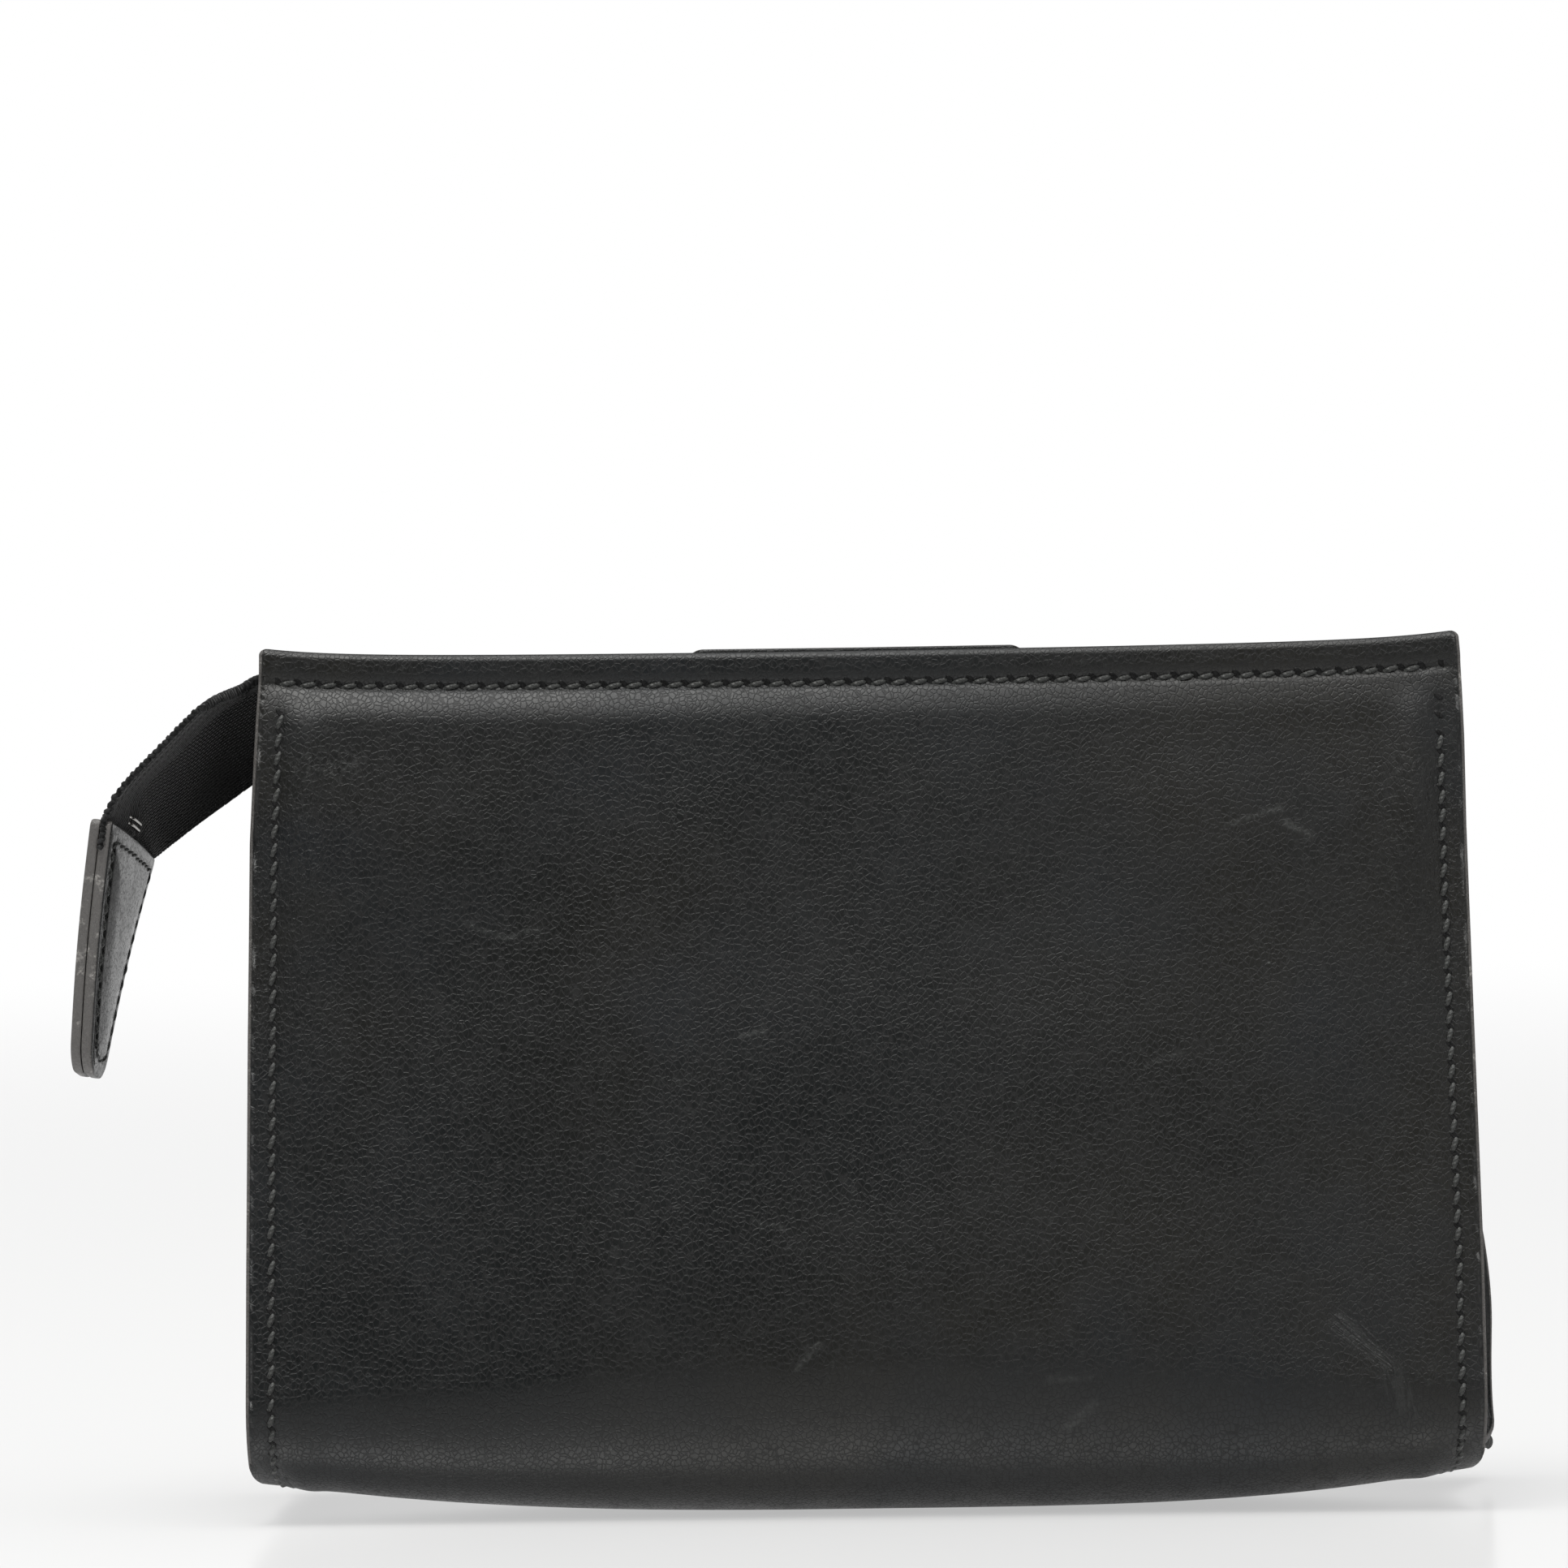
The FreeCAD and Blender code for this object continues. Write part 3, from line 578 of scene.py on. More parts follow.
def leather(name, panel=False, cut_tone_and_glint=1.0, smooth=0.0, relief=1.0, shine=0.33):
    """Black leather; the panel has marks, stitch holes painted dark as shade, and creases whose ridges are
    painted paler as glints, and "rim" is where a cut edge shows, paler partly in its own colour and partly as
    a painted highlight.
    """
    s = Shader(name)
    where = s.object
    tint, rough, normal = leather_grain(s, where, smooth, relief)
    light = dust(s, where)
    u, v, _ = s.split(s.uv)
    if panel:
        u = s.math("MODULO", u + 0.5, 1.0) - 0.5
        rough = rough + s.step(u, -62 * MM, 62 * MM, -0.035, 0.035)  # handled smoother on the left
        light = s.most(s.most(light, rub_marks(s, where)), chalky_patch(s, where, u, v))
    tint = s.mix(light * 0.5, tint, PALE)
    if panel:
        hole, folds_and_glints = stitch_holes(s, u, v), corner_folds(s, u, v)
        # the stitch holes are painted near black: painted shade inside them
        tint = s.mix(hole * 0.95, tint, HOLE_SHADE)
        # ridges of the corner folds painted paler: painted glints
        tint = s.mix(s.step(folds_and_glints, 0.45, 0.95, 0.0, 0.07), tint, PALE)
        rough = rough + hole * 0.35
        for height, depth in ((hole * -1.0, 0.30), (folds_and_glints, 0.16), (seam_crazing(s, where, u, v), 0.28)):
            normal = s.bump(height, depth * MM, normal)
    edge = Value(s, s.new("Attribute", attribute_name="rim").outputs["Fac"])
    fibre = s.noise(where, 2600.0, 4.0, 0.7)
    nick = s.step(s.noise(where, 420.0, 3.0, 0.6), 0.58, 0.68) * s.step(fibre, 0.42, 0.58)
    # raw cut edges are paler in their own colour; the lift on top of that is a painted highlight for the
    # light the edges catch
    dark, pale = [tuple(c * cut_tone_and_glint for c in tone) for tone in (CUT_DARK, CUT_LIGHT)]
    cut = s.mix(nick, s.mix(fibre, dark, pale), CUT_NICK)
    tint = s.mix(s.step(edge, 0.35, 0.9), tint, cut)
    s.set(Base_Color=tint, Roughness=rough + edge * 0.12, Normal=s.bump(fibre * edge, 0.18 * MM, normal))
    s.set(Coat_Weight=0.03, Coat_Roughness=0.25, Specular_IOR_Level=shine)
    return s.material


def thread_material():
    """Twisted polyester thread, u along it and v round it."""
    s = Shader("thread_polyester")
    u, v, _ = s.split(s.uv)
    ply = s.math("SINE", u * (TURN / (0.62 * MM)) + v * (2.0 / MM))
    fibres = s.noise(s.object, 5200.0, 2.0, 0.7)
    # ply crowns painted lighter and the grooves between them darker: painted shade of the twist
    colour = s.mix(s.step(ply, -1.0, 0.6), (0.009, 0.0098, 0.0088), (0.022, 0.0235, 0.021))
    colour = s.mix(fibres * 0.4, colour, (0.034, 0.036, 0.034))
    s.set(Base_Color=colour, Normal=s.bump(ply + fibres * 0.8, 0.04 * MM), Roughness=fibres * 0.2 + 0.42)
    s.set(Sheen_Weight=0.15, Sheen_Roughness=0.5)
    return s.material


def tape_material():
    """Woven polyester: fine ribs broken by the weft; the near half of the tail's tape is painted paler in
    loops, a painted sheen.
    """
    s = Shader("tape_weave")
    u, v, _ = s.split(s.uv)
    rib = 0.42 * MM
    warp = s.math("SINE", v * (TURN / rib))
    weft = s.math("SINE", (u + s.math("FLOOR", v / rib) * (0.25 * MM)) * (TURN / (0.5 * MM)))
    weave = warp * 0.5 + weft * 0.5
    fluff = s.noise(s.object, 3200.0, 3.0, 0.7)
    # crowns of the weave painted lighter and its troughs darker: painted shade of the weave
    colour = s.mix(s.step(weave, -0.7, 0.7), (0.0016, 0.0017, 0.0017), (0.0065, 0.0070, 0.0070))
    colour = s.mix(s.step(fluff, 0.55, 0.8), colour, (0.018, 0.019, 0.019))
    # the near half of the tail's tape is painted paler in loops: painted sheen where it is seen at a grazing
    # angle
    near_half_sheen = s.step(v, 25.0 * MM, 26.0 * MM) * s.step(v, 37.0 * MM, 40.5 * MM, 1.0, 0.0)
    loops = near_half_sheen * s.step(s.noise(s.object, 1500.0, 2.0), 0.4, 0.65)
    colour = s.mix(loops * 0.7, colour, (0.030, 0.030, 0.031))
    s.set(Base_Color=colour, Normal=s.bump(weave + fluff * 0.5, 0.11 * MM), Roughness=fluff * 0.15 + 0.75)
    s.set(Sheen_Weight=0.16, Sheen_Roughness=0.3, Specular_IOR_Level=0.3)
    return s.material


def coil_material():
    s = Shader("coil_nylon")
    scuff = s.noise(s.object, 1800.0, 3.0, 0.6)
    colour = s.mix(s.step(scuff, 0.5, 0.8), (0.008, 0.0085, 0.0085), (0.030, 0.031, 0.031))
    s.set(Base_Color=colour, Normal=s.bump(scuff, 0.03 * MM), Roughness=scuff * 0.25 + 0.24)
    return s.material


def metal_material():
    """Brushed nickel with small pits and scratches."""
    s = Shader("metal_nickel")
    brushed = s.noise(s.vec("MULTIPLY", s.object, (0.15, 1.0, 1.0)), 5200.0, 3.0, 0.6)
    pits = s.noise(s.object, 900.0, 4.0, 0.7)
    waver = s.noise(s.vec("MULTIPLY", s.object, (0.3, 1.0, 1.0)), 900.0, 1.0)
    scratch = s.step(abs(waver - 0.5), 0.0, 0.012, 1.0, 0.0)
    colour = s.mix(s.step(pits, 0.45, 0.80), (0.40, 0.39, 0.375), (0.31, 0.30, 0.285))
    rough = brushed * 0.16 + 0.16 + scratch * 0.18
    normal = s.bump(brushed * 0.5 - scratch * 0.6, 0.005 * MM)
    s.set(Base_Color=colour, Roughness=rough, Normal=normal, Metallic=1.0)
    return s.material


def lining_material():
    s = Shader("lining_suede")
    nap = s.noise(s.object, 4200.0, 4.0, 0.75)
    brushed = s.noise(s.object, 120.0, 3.0, 0.6)
    colour = s.mix(s.step(brushed, 0.35, 0.65), (0.016, 0.015, 0.014), (0.030, 0.028, 0.026))
    s.set(Base_Color=colour, Normal=s.bump(nap, 0.2 * MM), Roughness=nap * 0.1 + 0.85)
    s.set(Sheen_Weight=0.3, Sheen_Roughness=0.5)
    return s.material


# panel and tab cut edges lifted 1.35 and 1.45 times: partly own colour, partly painted highlight
LEATHER_PANEL = leather("leather_panel", panel=True, cut_tone_and_glint=1.35)
LEATHER_TRIM = leather("leather_trim")
LEATHER_TAB = leather("leather_tab", cut_tone_and_glint=1.45, smooth=0.11, relief=0.12, shine=0.62)
THREAD = thread_material()
TAPE = tape_material()
COIL = coil_material()
METAL = metal_material()
LINING = lining_material()


# ---- the wrap of leather
LONGEST = float(panel_length(0.0))


def wrap_rows():
    """Places down the panel, close together where the stitch row and the bulge under it are."""
    edges = [(HEM, FOLD - math.pi * FOLD, 1.0), (FOLD - math.pi * FOLD, FOLD, 0.29), (FOLD, 2.6, 0.5),
             (2.6, 6.2, 0.26), (6.2, 14, 0.6), (14, LONGEST, 0.86)]
    rows = [np.linspace(a, b, max(2, round((b - a) / step) + 1))[:-1] for a, b, step in edges]
    return np.concatenate(rows + [[edges[-1][1]]])


def row_place(t, x):
    """t on the middle's line, moved in proportion on the shorter or longer line at x."""
    return HEM + (t - HEM) * (panel_length(x) - HEM) / (LONGEST - HEM)


def wrap_place(x, p, h):
    side = np.where(p < 0, -1.0, 1.0)
    t = row_place(LONGEST - np.abs(p), x)
    return skin(x, t, side, h - LEATHER / 2)


def wrap_uv(x, p):
    return np.stack([x, row_place(LONGEST - np.abs(p), x)], -1)


def make_wrap():
    t = wrap_rows()
    p = np.concatenate([t - LONGEST, (LONGEST - t)[::-1][1:]])
    edge = 0.6
    inside = HALF - edge
    cols = np.concatenate([np.arange(0, 66, 1.0), np.arange(66, inside, 0.4), [inside]])
    cols = np.concatenate([-cols[:0:-1], cols]) / inside
    inner = np.linspace(-1, 1, 20)
    ob = slab("bag_leather", wrap_place, p, lambda q: np.full(len(q), HALF), cols, inner, LEATHER, edge,
              LEATHER_PANEL, uv_of=wrap_uv)
    # the back's face reads its own part of the pattern
    me = ob.data
    centre = np.empty(len(me.polygons) * 3, np.float32)
    me.polygons.foreach_get("center", centre)
    back = centre.reshape(-1, 3)[:, 1] > 0
    sizes = np.empty(len(me.polygons), np.int32)
    me.polygons.foreach_get("loop_total", sizes)
    uv = np.empty(len(me.loops) * 2, np.float32)
    me.uv_layers[0].data.foreach_get("uv", uv)
    uv = uv.reshape(-1, 2)
    uv[:, 0] += np.repeat(back, sizes)
    me.uv_layers[0].data.foreach_set("uv", uv.ravel())
    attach(ob, "bag")
    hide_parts("leather_wrap")


make_wrap()


# ---- folded side walls
FLANGE = 70.6  # where a side wall leaves the seam and turns in
FOLD_LIFT = 12.0  # how high the fold's line stands over the base's edge
FOLD_PLACE = ([3, FOLD_LIFT, TOP - 8], [70.2, 69.0, 55.0])  # the fold's heights, and places across


def gusset_section(t, side, hand, off, shift):
    """Half a side wall at t down: from the wrap's edge, in under the seam, and in to the fold."""
    t_edge = np.minimum(t, panel_length(70.5))
    xs = np.linspace(HALF - 0.25 - shift * 1.2, FLANGE, 5)
    flange = [skin(hand * x, row_place(t_edge, x), side, -LEATHER - 0.06 - off) for x in xs]
    start = flange[-1]
    y, z = np.abs(start[..., 1]), np.maximum(start[..., 2], 0)
    # the fold runs out into the base towards its middle
    fold_z = np.hypot(z, FOLD_LIFT * (0.25 + 0.75 * ease(y / 20)))
    fold_x = np.interp(fold_z, *FOLD_PLACE) - shift
    fold = np.stack([hand * fold_x, np.zeros_like(z), fold_z], -1)
    inwards = start - [hand * 3.4, 0, 0]
    beside = fold.copy()
    beside[..., 1] = side * np.minimum(3.2, y * 0.45)
    web = [(1 - s) ** 3 * start + 3 * (1 - s) ** 2 * s * inwards + 3 * (1 - s) * s**2 * beside + s**3 * fold
           for s in np.linspace(0, 1, 22)[1:]]
    return np.stack(flange + web, -2)


def make_gusset(name, hand, off, shift, top, thick, material, node):
    t = np.linspace(top, LONGEST, 110)
    front = gusset_section(t, -1.0, hand, off, shift)
    back = gusset_section(t, 1.0, hand, off, shift)
    points = np.concatenate([front, back[:, -2::-1]], 1)
    rows, cols = points.shape[:2]
    r = np.linspace(0, 1, rows)[:, None]
    c = np.linspace(0, 1, cols)[None, :]
    wave = 0
    for size, down, phase, over in rng.normal(0, 1, (6, 4)):
        ripple = np.sin(math.pi * (1 + abs(down) * 2) * r + phase) * np.sin(math.pi * (1 + over) * c)
        wave = wave + size * ripple * np.sin(math.pi * c) ** 2
    points[..., 0] += 0.28 * wave * np.sin(math.pi * r) ** 0.5
    uv = np.stack(np.broadcast_arrays(c * 60.0, t[:, None]), -1)
    # the front and back halves share one line at the base's middle
    last, middle = (rows - 1) * cols, cols // 2
    faces = np.asarray(grid_faces(rows, cols, flip=hand > 0))
    faces = np.where(faces > last + middle, 2 * last + 2 * middle - faces, faces)
    used = last + middle + 1
    ob = add_mesh(name, points.reshape(-1, 3)[:used], faces, material, uv=uv.reshape(-1, 2)[:used])
    solidify(ob, thick)
    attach(ob, "bag")
    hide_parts(node)


for hand, word in ((-1.0, "left"), (1.0, "right")):
    make_gusset(f"side_wall_{word}", hand, 0.0, 0.0, 9.0, 1.0, LEATHER_TRIM, f"gusset_{word}")
    make_gusset(f"side_lining_{word}", hand, 1.15, 1.4, 9.4, 0.4, LINING, f"lining_gusset_{word}")


def make_lining():
    t = np.linspace(9.0, LONGEST, 70)
    x = np.linspace(-68.5, 68.5, 60)
    p = np.concatenate([t - LONGEST, (LONGEST - t)[::-1][1:]])
    xx, pp = np.meshgrid(x, p)
    side = np.where(pp < 0, -1.0, 1.0)
    points = skin(xx, row_place(LONGEST - np.abs(pp), xx), side, -LEATHER - 0.35)
    ob = add_mesh("body_lining", points, grid_faces(len(p), len(x)), LINING, uv=np.stack([xx, pp], -1))
    solidify(ob, 0.4)
    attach(ob, "bag")
    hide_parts("lining_wrap")


make_lining()


# ---- stitches
def stitch_parts(holes, normals, radius, slant, reach=0.80):
    """One short bowed thread between each two holes."""
    parts = []
    s = np.linspace(0, 1, 9)
    lift = np.sin(math.pi * s) ** 0.6
    for a, b, n in zip(holes[:-1], holes[1:], (normals[:-1] + normals[1:]) / 2):
        n = n / np.linalg.norm(n)
        along = b - a
        side = np.cross(n, along / np.linalg.norm(along))
        share = 0.5 + (s - 0.5) * reach
        wobble = rng.normal(0, 0.035, 2)
        line = a + along * share[:, None] + n * ((lift * 1.35 - 0.85) * radius + wobble[0])[:, None]
        line = line + side * ((s - 0.5) * slant * 2 + wobble[1])[:, None]
        parts.append(tube(line, radius * (0.50 + 0.50 * lift), 8, across=n))
    return parts


def row_of(x, t, side, radius, slant):
    return stitch_parts(skin(x, t, side), skin_normal(x, t, np.full(len(x), side)), radius, slant)


def add_threads(name, parts, body, nodes):
    ob = add_parts(name, parts, THREAD)
    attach(ob, body)
    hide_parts(*nodes)


PATCH_HALF = 22.0  # half the back patch's width, where the back's top row is covered
top_x = -ROW_END + ROW_PITCH * np.arange(int(2 * ROW_END / ROW_PITCH) + 1)
top_parts = row_of(top_x, np.full(len(top_x), ROW), -1.0, 0.34, 0.26)
add_threads("stitches_top_front", top_parts, "bag", ["thread_top_front"])
back_parts = []
for part in (top_x[top_x < -PATCH_HALF - 0.5], top_x[top_x > PATCH_HALF + 0.5]):
    back_parts += row_of(part, np.full(len(part), ROW), 1.0, 0.34, 0.26)
add_threads("stitches_top_back", back_parts, "bag", ["thread_top_back"])

for side, word in ((-1.0, "front"), (1.0, "back")):
    for hand, where in ((-1.0, "left"), (1.0, "right")):
        first = 0 if hand < 0 else 2  # the right rows start lower
        t = ROW_START + SEAM_PITCH * np.arange(first, int((LONGEST - 9.0) / SEAM_PITCH))
        parts = row_of(np.full(len(t), hand * SEAM), t, side, 0.33, -0.32)
        add_threads(f"stitches_{word}_{where}", parts, "bag", [f"thread_side_{word}_{where}"])


# ---- patch on the back
PATCH_TOP, PATCH_FOOT = -0.55, 24.0  # above and below the mouth's edge
PATCH_FREE = 4.6  # above this it stands straight up, free of the bag
PATCH_THICK = 1.0


def patch_place(x, t, h):
    base = skin(x, np.maximum(t, PATCH_FREE), 1.0, 0.10 + PATCH_THICK / 2 + h)
    lift = np.maximum(PATCH_FREE - t, 0)
    base[..., 2] += lift
    base[..., 1] -= 0.35 * ease(lift / 3)
    return base


def patch_half(t):
    def corner(d, r):
        return r - np.sqrt(r * r - (r - np.clip(d, 0, r)) ** 2)
    return PATCH_HALF - corner(t - PATCH_TOP, 2.6) - corner(PATCH_FOOT - t, 6.0)


def make_patch():
    rows = [np.linspace(PATCH_TOP, 3, 16), np.linspace(3, 18, 24)[1:], np.linspace(18, PATCH_FOOT, 22)[1:]]
    ob = slab("back_tab_leather", patch_place, np.concatenate(rows), patch_half, np.linspace(-1, 1, 70),
              np.linspace(-1, 1, 12), PATCH_THICK, 0.35, LEATHER_TRIM)
    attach(ob, "bag")
    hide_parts("back_patch")
    x = np.arange(-19.6, 19.7, 2.45)
    holes = patch_place(x, np.full(len(x), ROW), np.full(len(x), PATCH_THICK / 2))
    parts = stitch_parts(holes, np.tile([0, 1.0, 0], (len(holes), 1)), 0.32, -0.2)
    add_threads("stitches_patch", parts, "bag", ["thread_patch"])


make_patch()


# ---- zip
CHAIN_LOW, CHAIN_HIGH = box_mm("zip_coil_front")
ZIP_LEFT, ZIP_RIGHT = -70.0, TAPE_HIGH[0]
CHAIN_RIGHT = CHAIN_HIGH[0]
COIL_PITCH = 1.27


HEM_PART = 2.2  # how much of the tape lies against the hem


def make_tape(name, side, node):
    """One tape from the hem's face, over a soft corner, to the chain."""
    reach = np.concatenate([np.linspace(0, HEM_PART, 6), np.linspace(HEM_PART, 7.4, 22)[1:]])
    x = np.arange(ZIP_LEFT, ZIP_RIGHT + 0.01, 0.9)
    xx, rr = np.meshgrid(x, reach, indexing="ij")
    past = rr - HEM_PART
    near = bell(past, 0, 1.0)
    y = HEM_FACE - 0.05 - np.maximum(past, 0) - 0.16 * near
    z = TAPE_TOP - 0.1 * (past < 0) + np.minimum(past, 0) - 0.20 * near
    z = z + 0.07 * np.sin(xx / 4.1 + side) * ease((past - 0.2) / 2) * ease((7 - rr) / 2)
    faces = grid_faces(len(x), len(reach), flip=side > 0)
    ob = add_mesh(name, np.stack([xx, side * y, z], -1), faces, TAPE, uv=np.stack([xx, rr], -1))
    solidify(ob, 0.55)
    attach(ob, "bag")
    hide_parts(node)


make_tape("zip_weave_front", -1.0, "zip_tape_front")
make_tape("zip_weave_back", 1.0, "zip_tape_back")


def coil_wire(line, out, up, first, last, phase, rise=1.0):
    """A wound nylon wire along line(a), a in mm; out and up are its half's directions there."""
    per_turn = 12
    a = np.linspace(first, last, int((last - first) / COIL_PITCH * per_turn) + 1)
    angle = TURN * a / COIL_PITCH + phase
    ring = 1.30 + 1.22 * np.cos(angle)
    height = (0.60 + 0.42 * np.sin(angle)) * rise
    centre = line(a) + out(a) * ring[:, None] + up(a) * height[:, None]
    return tube(centre, 0.26, 6, across=unit(np.gradient(line(a), axis=0)))


def straight(v):
    return lambda a: np.broadcast_to(np.asarray(v, float), (len(a), 3))


def zip_line(a):
    return np.stack([a, np.zeros_like(a), np.full_like(a, TAPE_TOP)], -1)


for side, word, phase in ((-1.0, "front", 0.0), (1.0, "back", math.pi)):
    wire = coil_wire(zip_line, straight((0, side, 0)), straight((0, 0, 1)), ZIP_LEFT, CHAIN_RIGHT, phase)
    coil = add_parts(f"zip_chain_{word}", [wire], COIL)
    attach(coil, "bag")
    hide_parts(f"zip_coil_{word}")

for node in ("slider_body", "slider_bail", "puller"):
    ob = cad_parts[node]
    ob.data.materials.clear()
    ob.data.materials.append(METAL)


def make_top_stop(word):
    """A small crimped metal stop with soft edges, narrower at its top."""
    low, high = box_mm(f"top_stop_{word}")
    low[2] -= 0.2
    bm = bmesh.new()
    bmesh.ops.create_cube(bm, size=1.0)
    for v in bm.verts:
        p = low + (high - low) * (np.array(v.co) + 0.5)
        if v.co.z > 0:
            p[:2] -= 0.15 * np.sign(v.co[:2])
        v.co = Vector(p * MM)
    bmesh.ops.bevel(bm, geom=bm.edges[:], offset=0.45 * MM, segments=4, affect="EDGES", profile=0.6)
    me = bpy.data.meshes.new(f"zip_stop_{word}")
    bm.to_mesh(me)
    bm.free()
    me.polygons.foreach_set("use_smooth", [True] * len(me.polygons))
    me.materials.append(METAL)
    ob = bpy.data.objects.new(me.name, me)
    bpy.context.scene.collection.objects.link(ob)
    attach(ob, "bag")
    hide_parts(f"top_stop_{word}")


for word in ("front", "back"):
    make_top_stop(word)


# ---- the zip's tail: a ribbon that leaves the mouth and turns down
TAIL_HALF = 14.0
# The chain's place, then the way from it to the near and to the far selvedge, seen from the front (mm).
TAIL = [
    # x, z, near x, near z, far x, far z
    (-70.0, TAPE_TOP, 0.0, 0.0, 0.0, -6.0),
    (-72.6, TAPE_TOP + 0.8, 0.0, 0.3, 0.0, -11.0),
    (-74.8, 104.6, -0.3, 0.9, 0.2, -11.5),
    (-77.5, 103.0, -0.4, 0.9, 0.3, -11.3),
    (-80.5, 101.2, -0.7, 0.8, 0.6, -11.4),
    (-83.1, 98.9, -0.8, 0.7, 0.8, -10.7),
    (-85.5, 96.4, -0.8, 0.8, 1.1, -9.6),
    (-88.6, 93.5, -0.75, 0.7, 1.7, -8.5),
    (-90.4, 91.5, -0.9, 0.7, 2.2, -7.4),
    (-91.2, 89.7, -1.7, 0.5, 2.1, -6.2),
    (-91.4, 87.6, -2.6, 0.5, 1.3, -4.8),
    (-92.2, 85.4, -2.0, 2.2, 1.4, -3.1),
    (-92.8, 83.4, -1.6, 2.53, 1.6, -2.53),
    (-93.2, 81.4, -1.6, 2.53, 1.6, -2.53),
]


def tail_keys():
    keys = []
    for x, z, nx, nz, fx, fz in TAIL:
        ny = -math.sqrt(TAIL_HALF**2 - nx * nx - nz * nz)
        fy = math.sqrt(TAIL_HALF**2 - fx * fx - fz * fz)
        keys.append((x, 0, z, nx, ny, nz, fx, fy, fz))
    return np.array(keys)


TAIL_LINE = spline(tail_keys(), np.linspace(0, 1, 400))
TAIL_ALONG = np.concatenate([[0], np.cumsum(np.linalg.norm(np.diff(TAIL_LINE[:, :3], axis=0), axis=1))])
TAIL_RUN = TAIL_ALONG[-1]


def tail_at(a):
    """Chain point, near and far directions, a mm along the tail."""
    row = np.stack([np.interp(a, TAIL_ALONG, column) for column in TAIL_LINE.T], -1)
    return row[:, :3], unit(row[:, 3:6]), unit(row[:, 6:9])


CUT = float(np.interp(85.0, -TAIL_LINE[:, 0], TAIL_ALONG))  # where the root and end pieces meet
KNIT = 0.78  # pitch of the bumps along the tape's edge
TUCK = 3.5  # how much of the near half is still folded under where it leaves the mouth
CLOSED = 5.0  # the near half's open width inside the mouth
INSIDE = 5.2  # inside the mouth the far half lies flat this far, then hangs
UP = np.array([0, 0, 1.0])


def tail_half(a, centre, tangent, direction, sign, q, curl):
    """Half the ribbon: q mm from the chain along direction, curled, ribbed, and knitted at its edge."""
    normal = unit(np.cross(direction * sign, tangent))[:, None]
    beat = (a * TURN / KNIT + 0.6 * np.sin(a * 1.7) + 0.5 * np.sin(a * 0.73 + 1))[:, None]
    sag = curl * 4 * (q / TAIL_HALF) * (1 - q / TAIL_HALF)
    at_edge = bell(q, TAIL_HALF, 0.6)
    ribs = 0.06 * np.sin(q * TURN / 0.9 + beat * 0.5)
    off = sag + 0.17 * at_edge * np.sin(beat) + ribs
    edge = 0.14 * np.sin(beat + 1.2) * at_edge
    return centre[:, None] + direction[:, None] * (q + edge)[..., None] + normal * off[..., None]


def tail_mesh(a):
    """Rows of the ribbon, from the near selvedge to the far one."""
    centre, near, far = tail_at(a)
    tangent = unit(np.gradient(centre, axis=0))
    share = np.linspace(0, 1, 30)
    free = CLOSED + (TAIL_HALF - CLOSED) * ease((-centre[:, 0] - 75.4) / 6.5)  # the near half's open width
    near_q = share[None, :] * (free + np.minimum(TAIL_HALF - free, TUCK))[:, None]
    far_q = np.broadcast_to(share * TAIL_HALF, near_q.shape)
    folded = np.maximum(near_q - free[:, None], 0)
    near_half = tail_half(a, centre, tangent, near, -1.0, near_q - 2 * folded, 0.45)
    near_half = near_half - UP * (0.75 * ease(folded / 0.5))[..., None]
    far_half = tail_half(a, centre, tangent, far, 1.0, far_q, 0.7)
    inside = centre[:, None] + np.array([0, 1.0, 0]) * np.minimum(far_q, INSIDE)[..., None]
    inside = inside - UP * np.maximum(far_q - INSIDE, 0)[..., None]
    open_far = ease((-centre[:, 0] - 70.0) / 4.0)[:, None, None]
    far_half = inside * (1 - open_far) + far_half * open_far
    points = np.concatenate([near_half[:, ::-1], far_half[:, 1:]], 1)
    across = np.concatenate([-near_q[:, ::-1], far_q[:, 1:]], 1)
    return points, np.stack(np.broadcast_arrays(a[:, None], across + 40.0), -1)


def tail_up(a):
    """Out of the ribbon's outer face."""
    centre, near, far = tail_at(a)
    return unit(np.cross(unit(far - near), unit(np.gradient(centre, axis=0))))


def ribbon(name, first, last):
    """One piece of the tail's tape with its stretch of the chain."""
    a = np.linspace(first, last, int((last - first) / 0.155))
    points, uv = tail_mesh(a)
    ob = add_mesh(name, points, grid_faces(*points.shape[:2]), TAPE, uv=uv)
    solidify(ob, 0.6, offset=0.0)
    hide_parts("tail_tape_front", "tail_tape_back")
    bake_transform(ob)
    parts = [coil_wire(lambda a: tail_at(a)[0] + tail_up(a) * 0.12, lambda a: tail_at(a)[half], tail_up,
                        max(first, 0.3), min(last, TAIL_RUN - 3.6), phase, rise=0.72)
             for half, phase in ((1, 0.0), (2, math.pi))]
    chain = add_parts(name.replace("ribbon", "chain"), parts, COIL)
    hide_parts("tail_coil")
    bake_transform(chain)


ribbon("tail_ribbon_root", 0.0, CUT)
ribbon("tail_ribbon_end", CUT, TAIL_RUN)


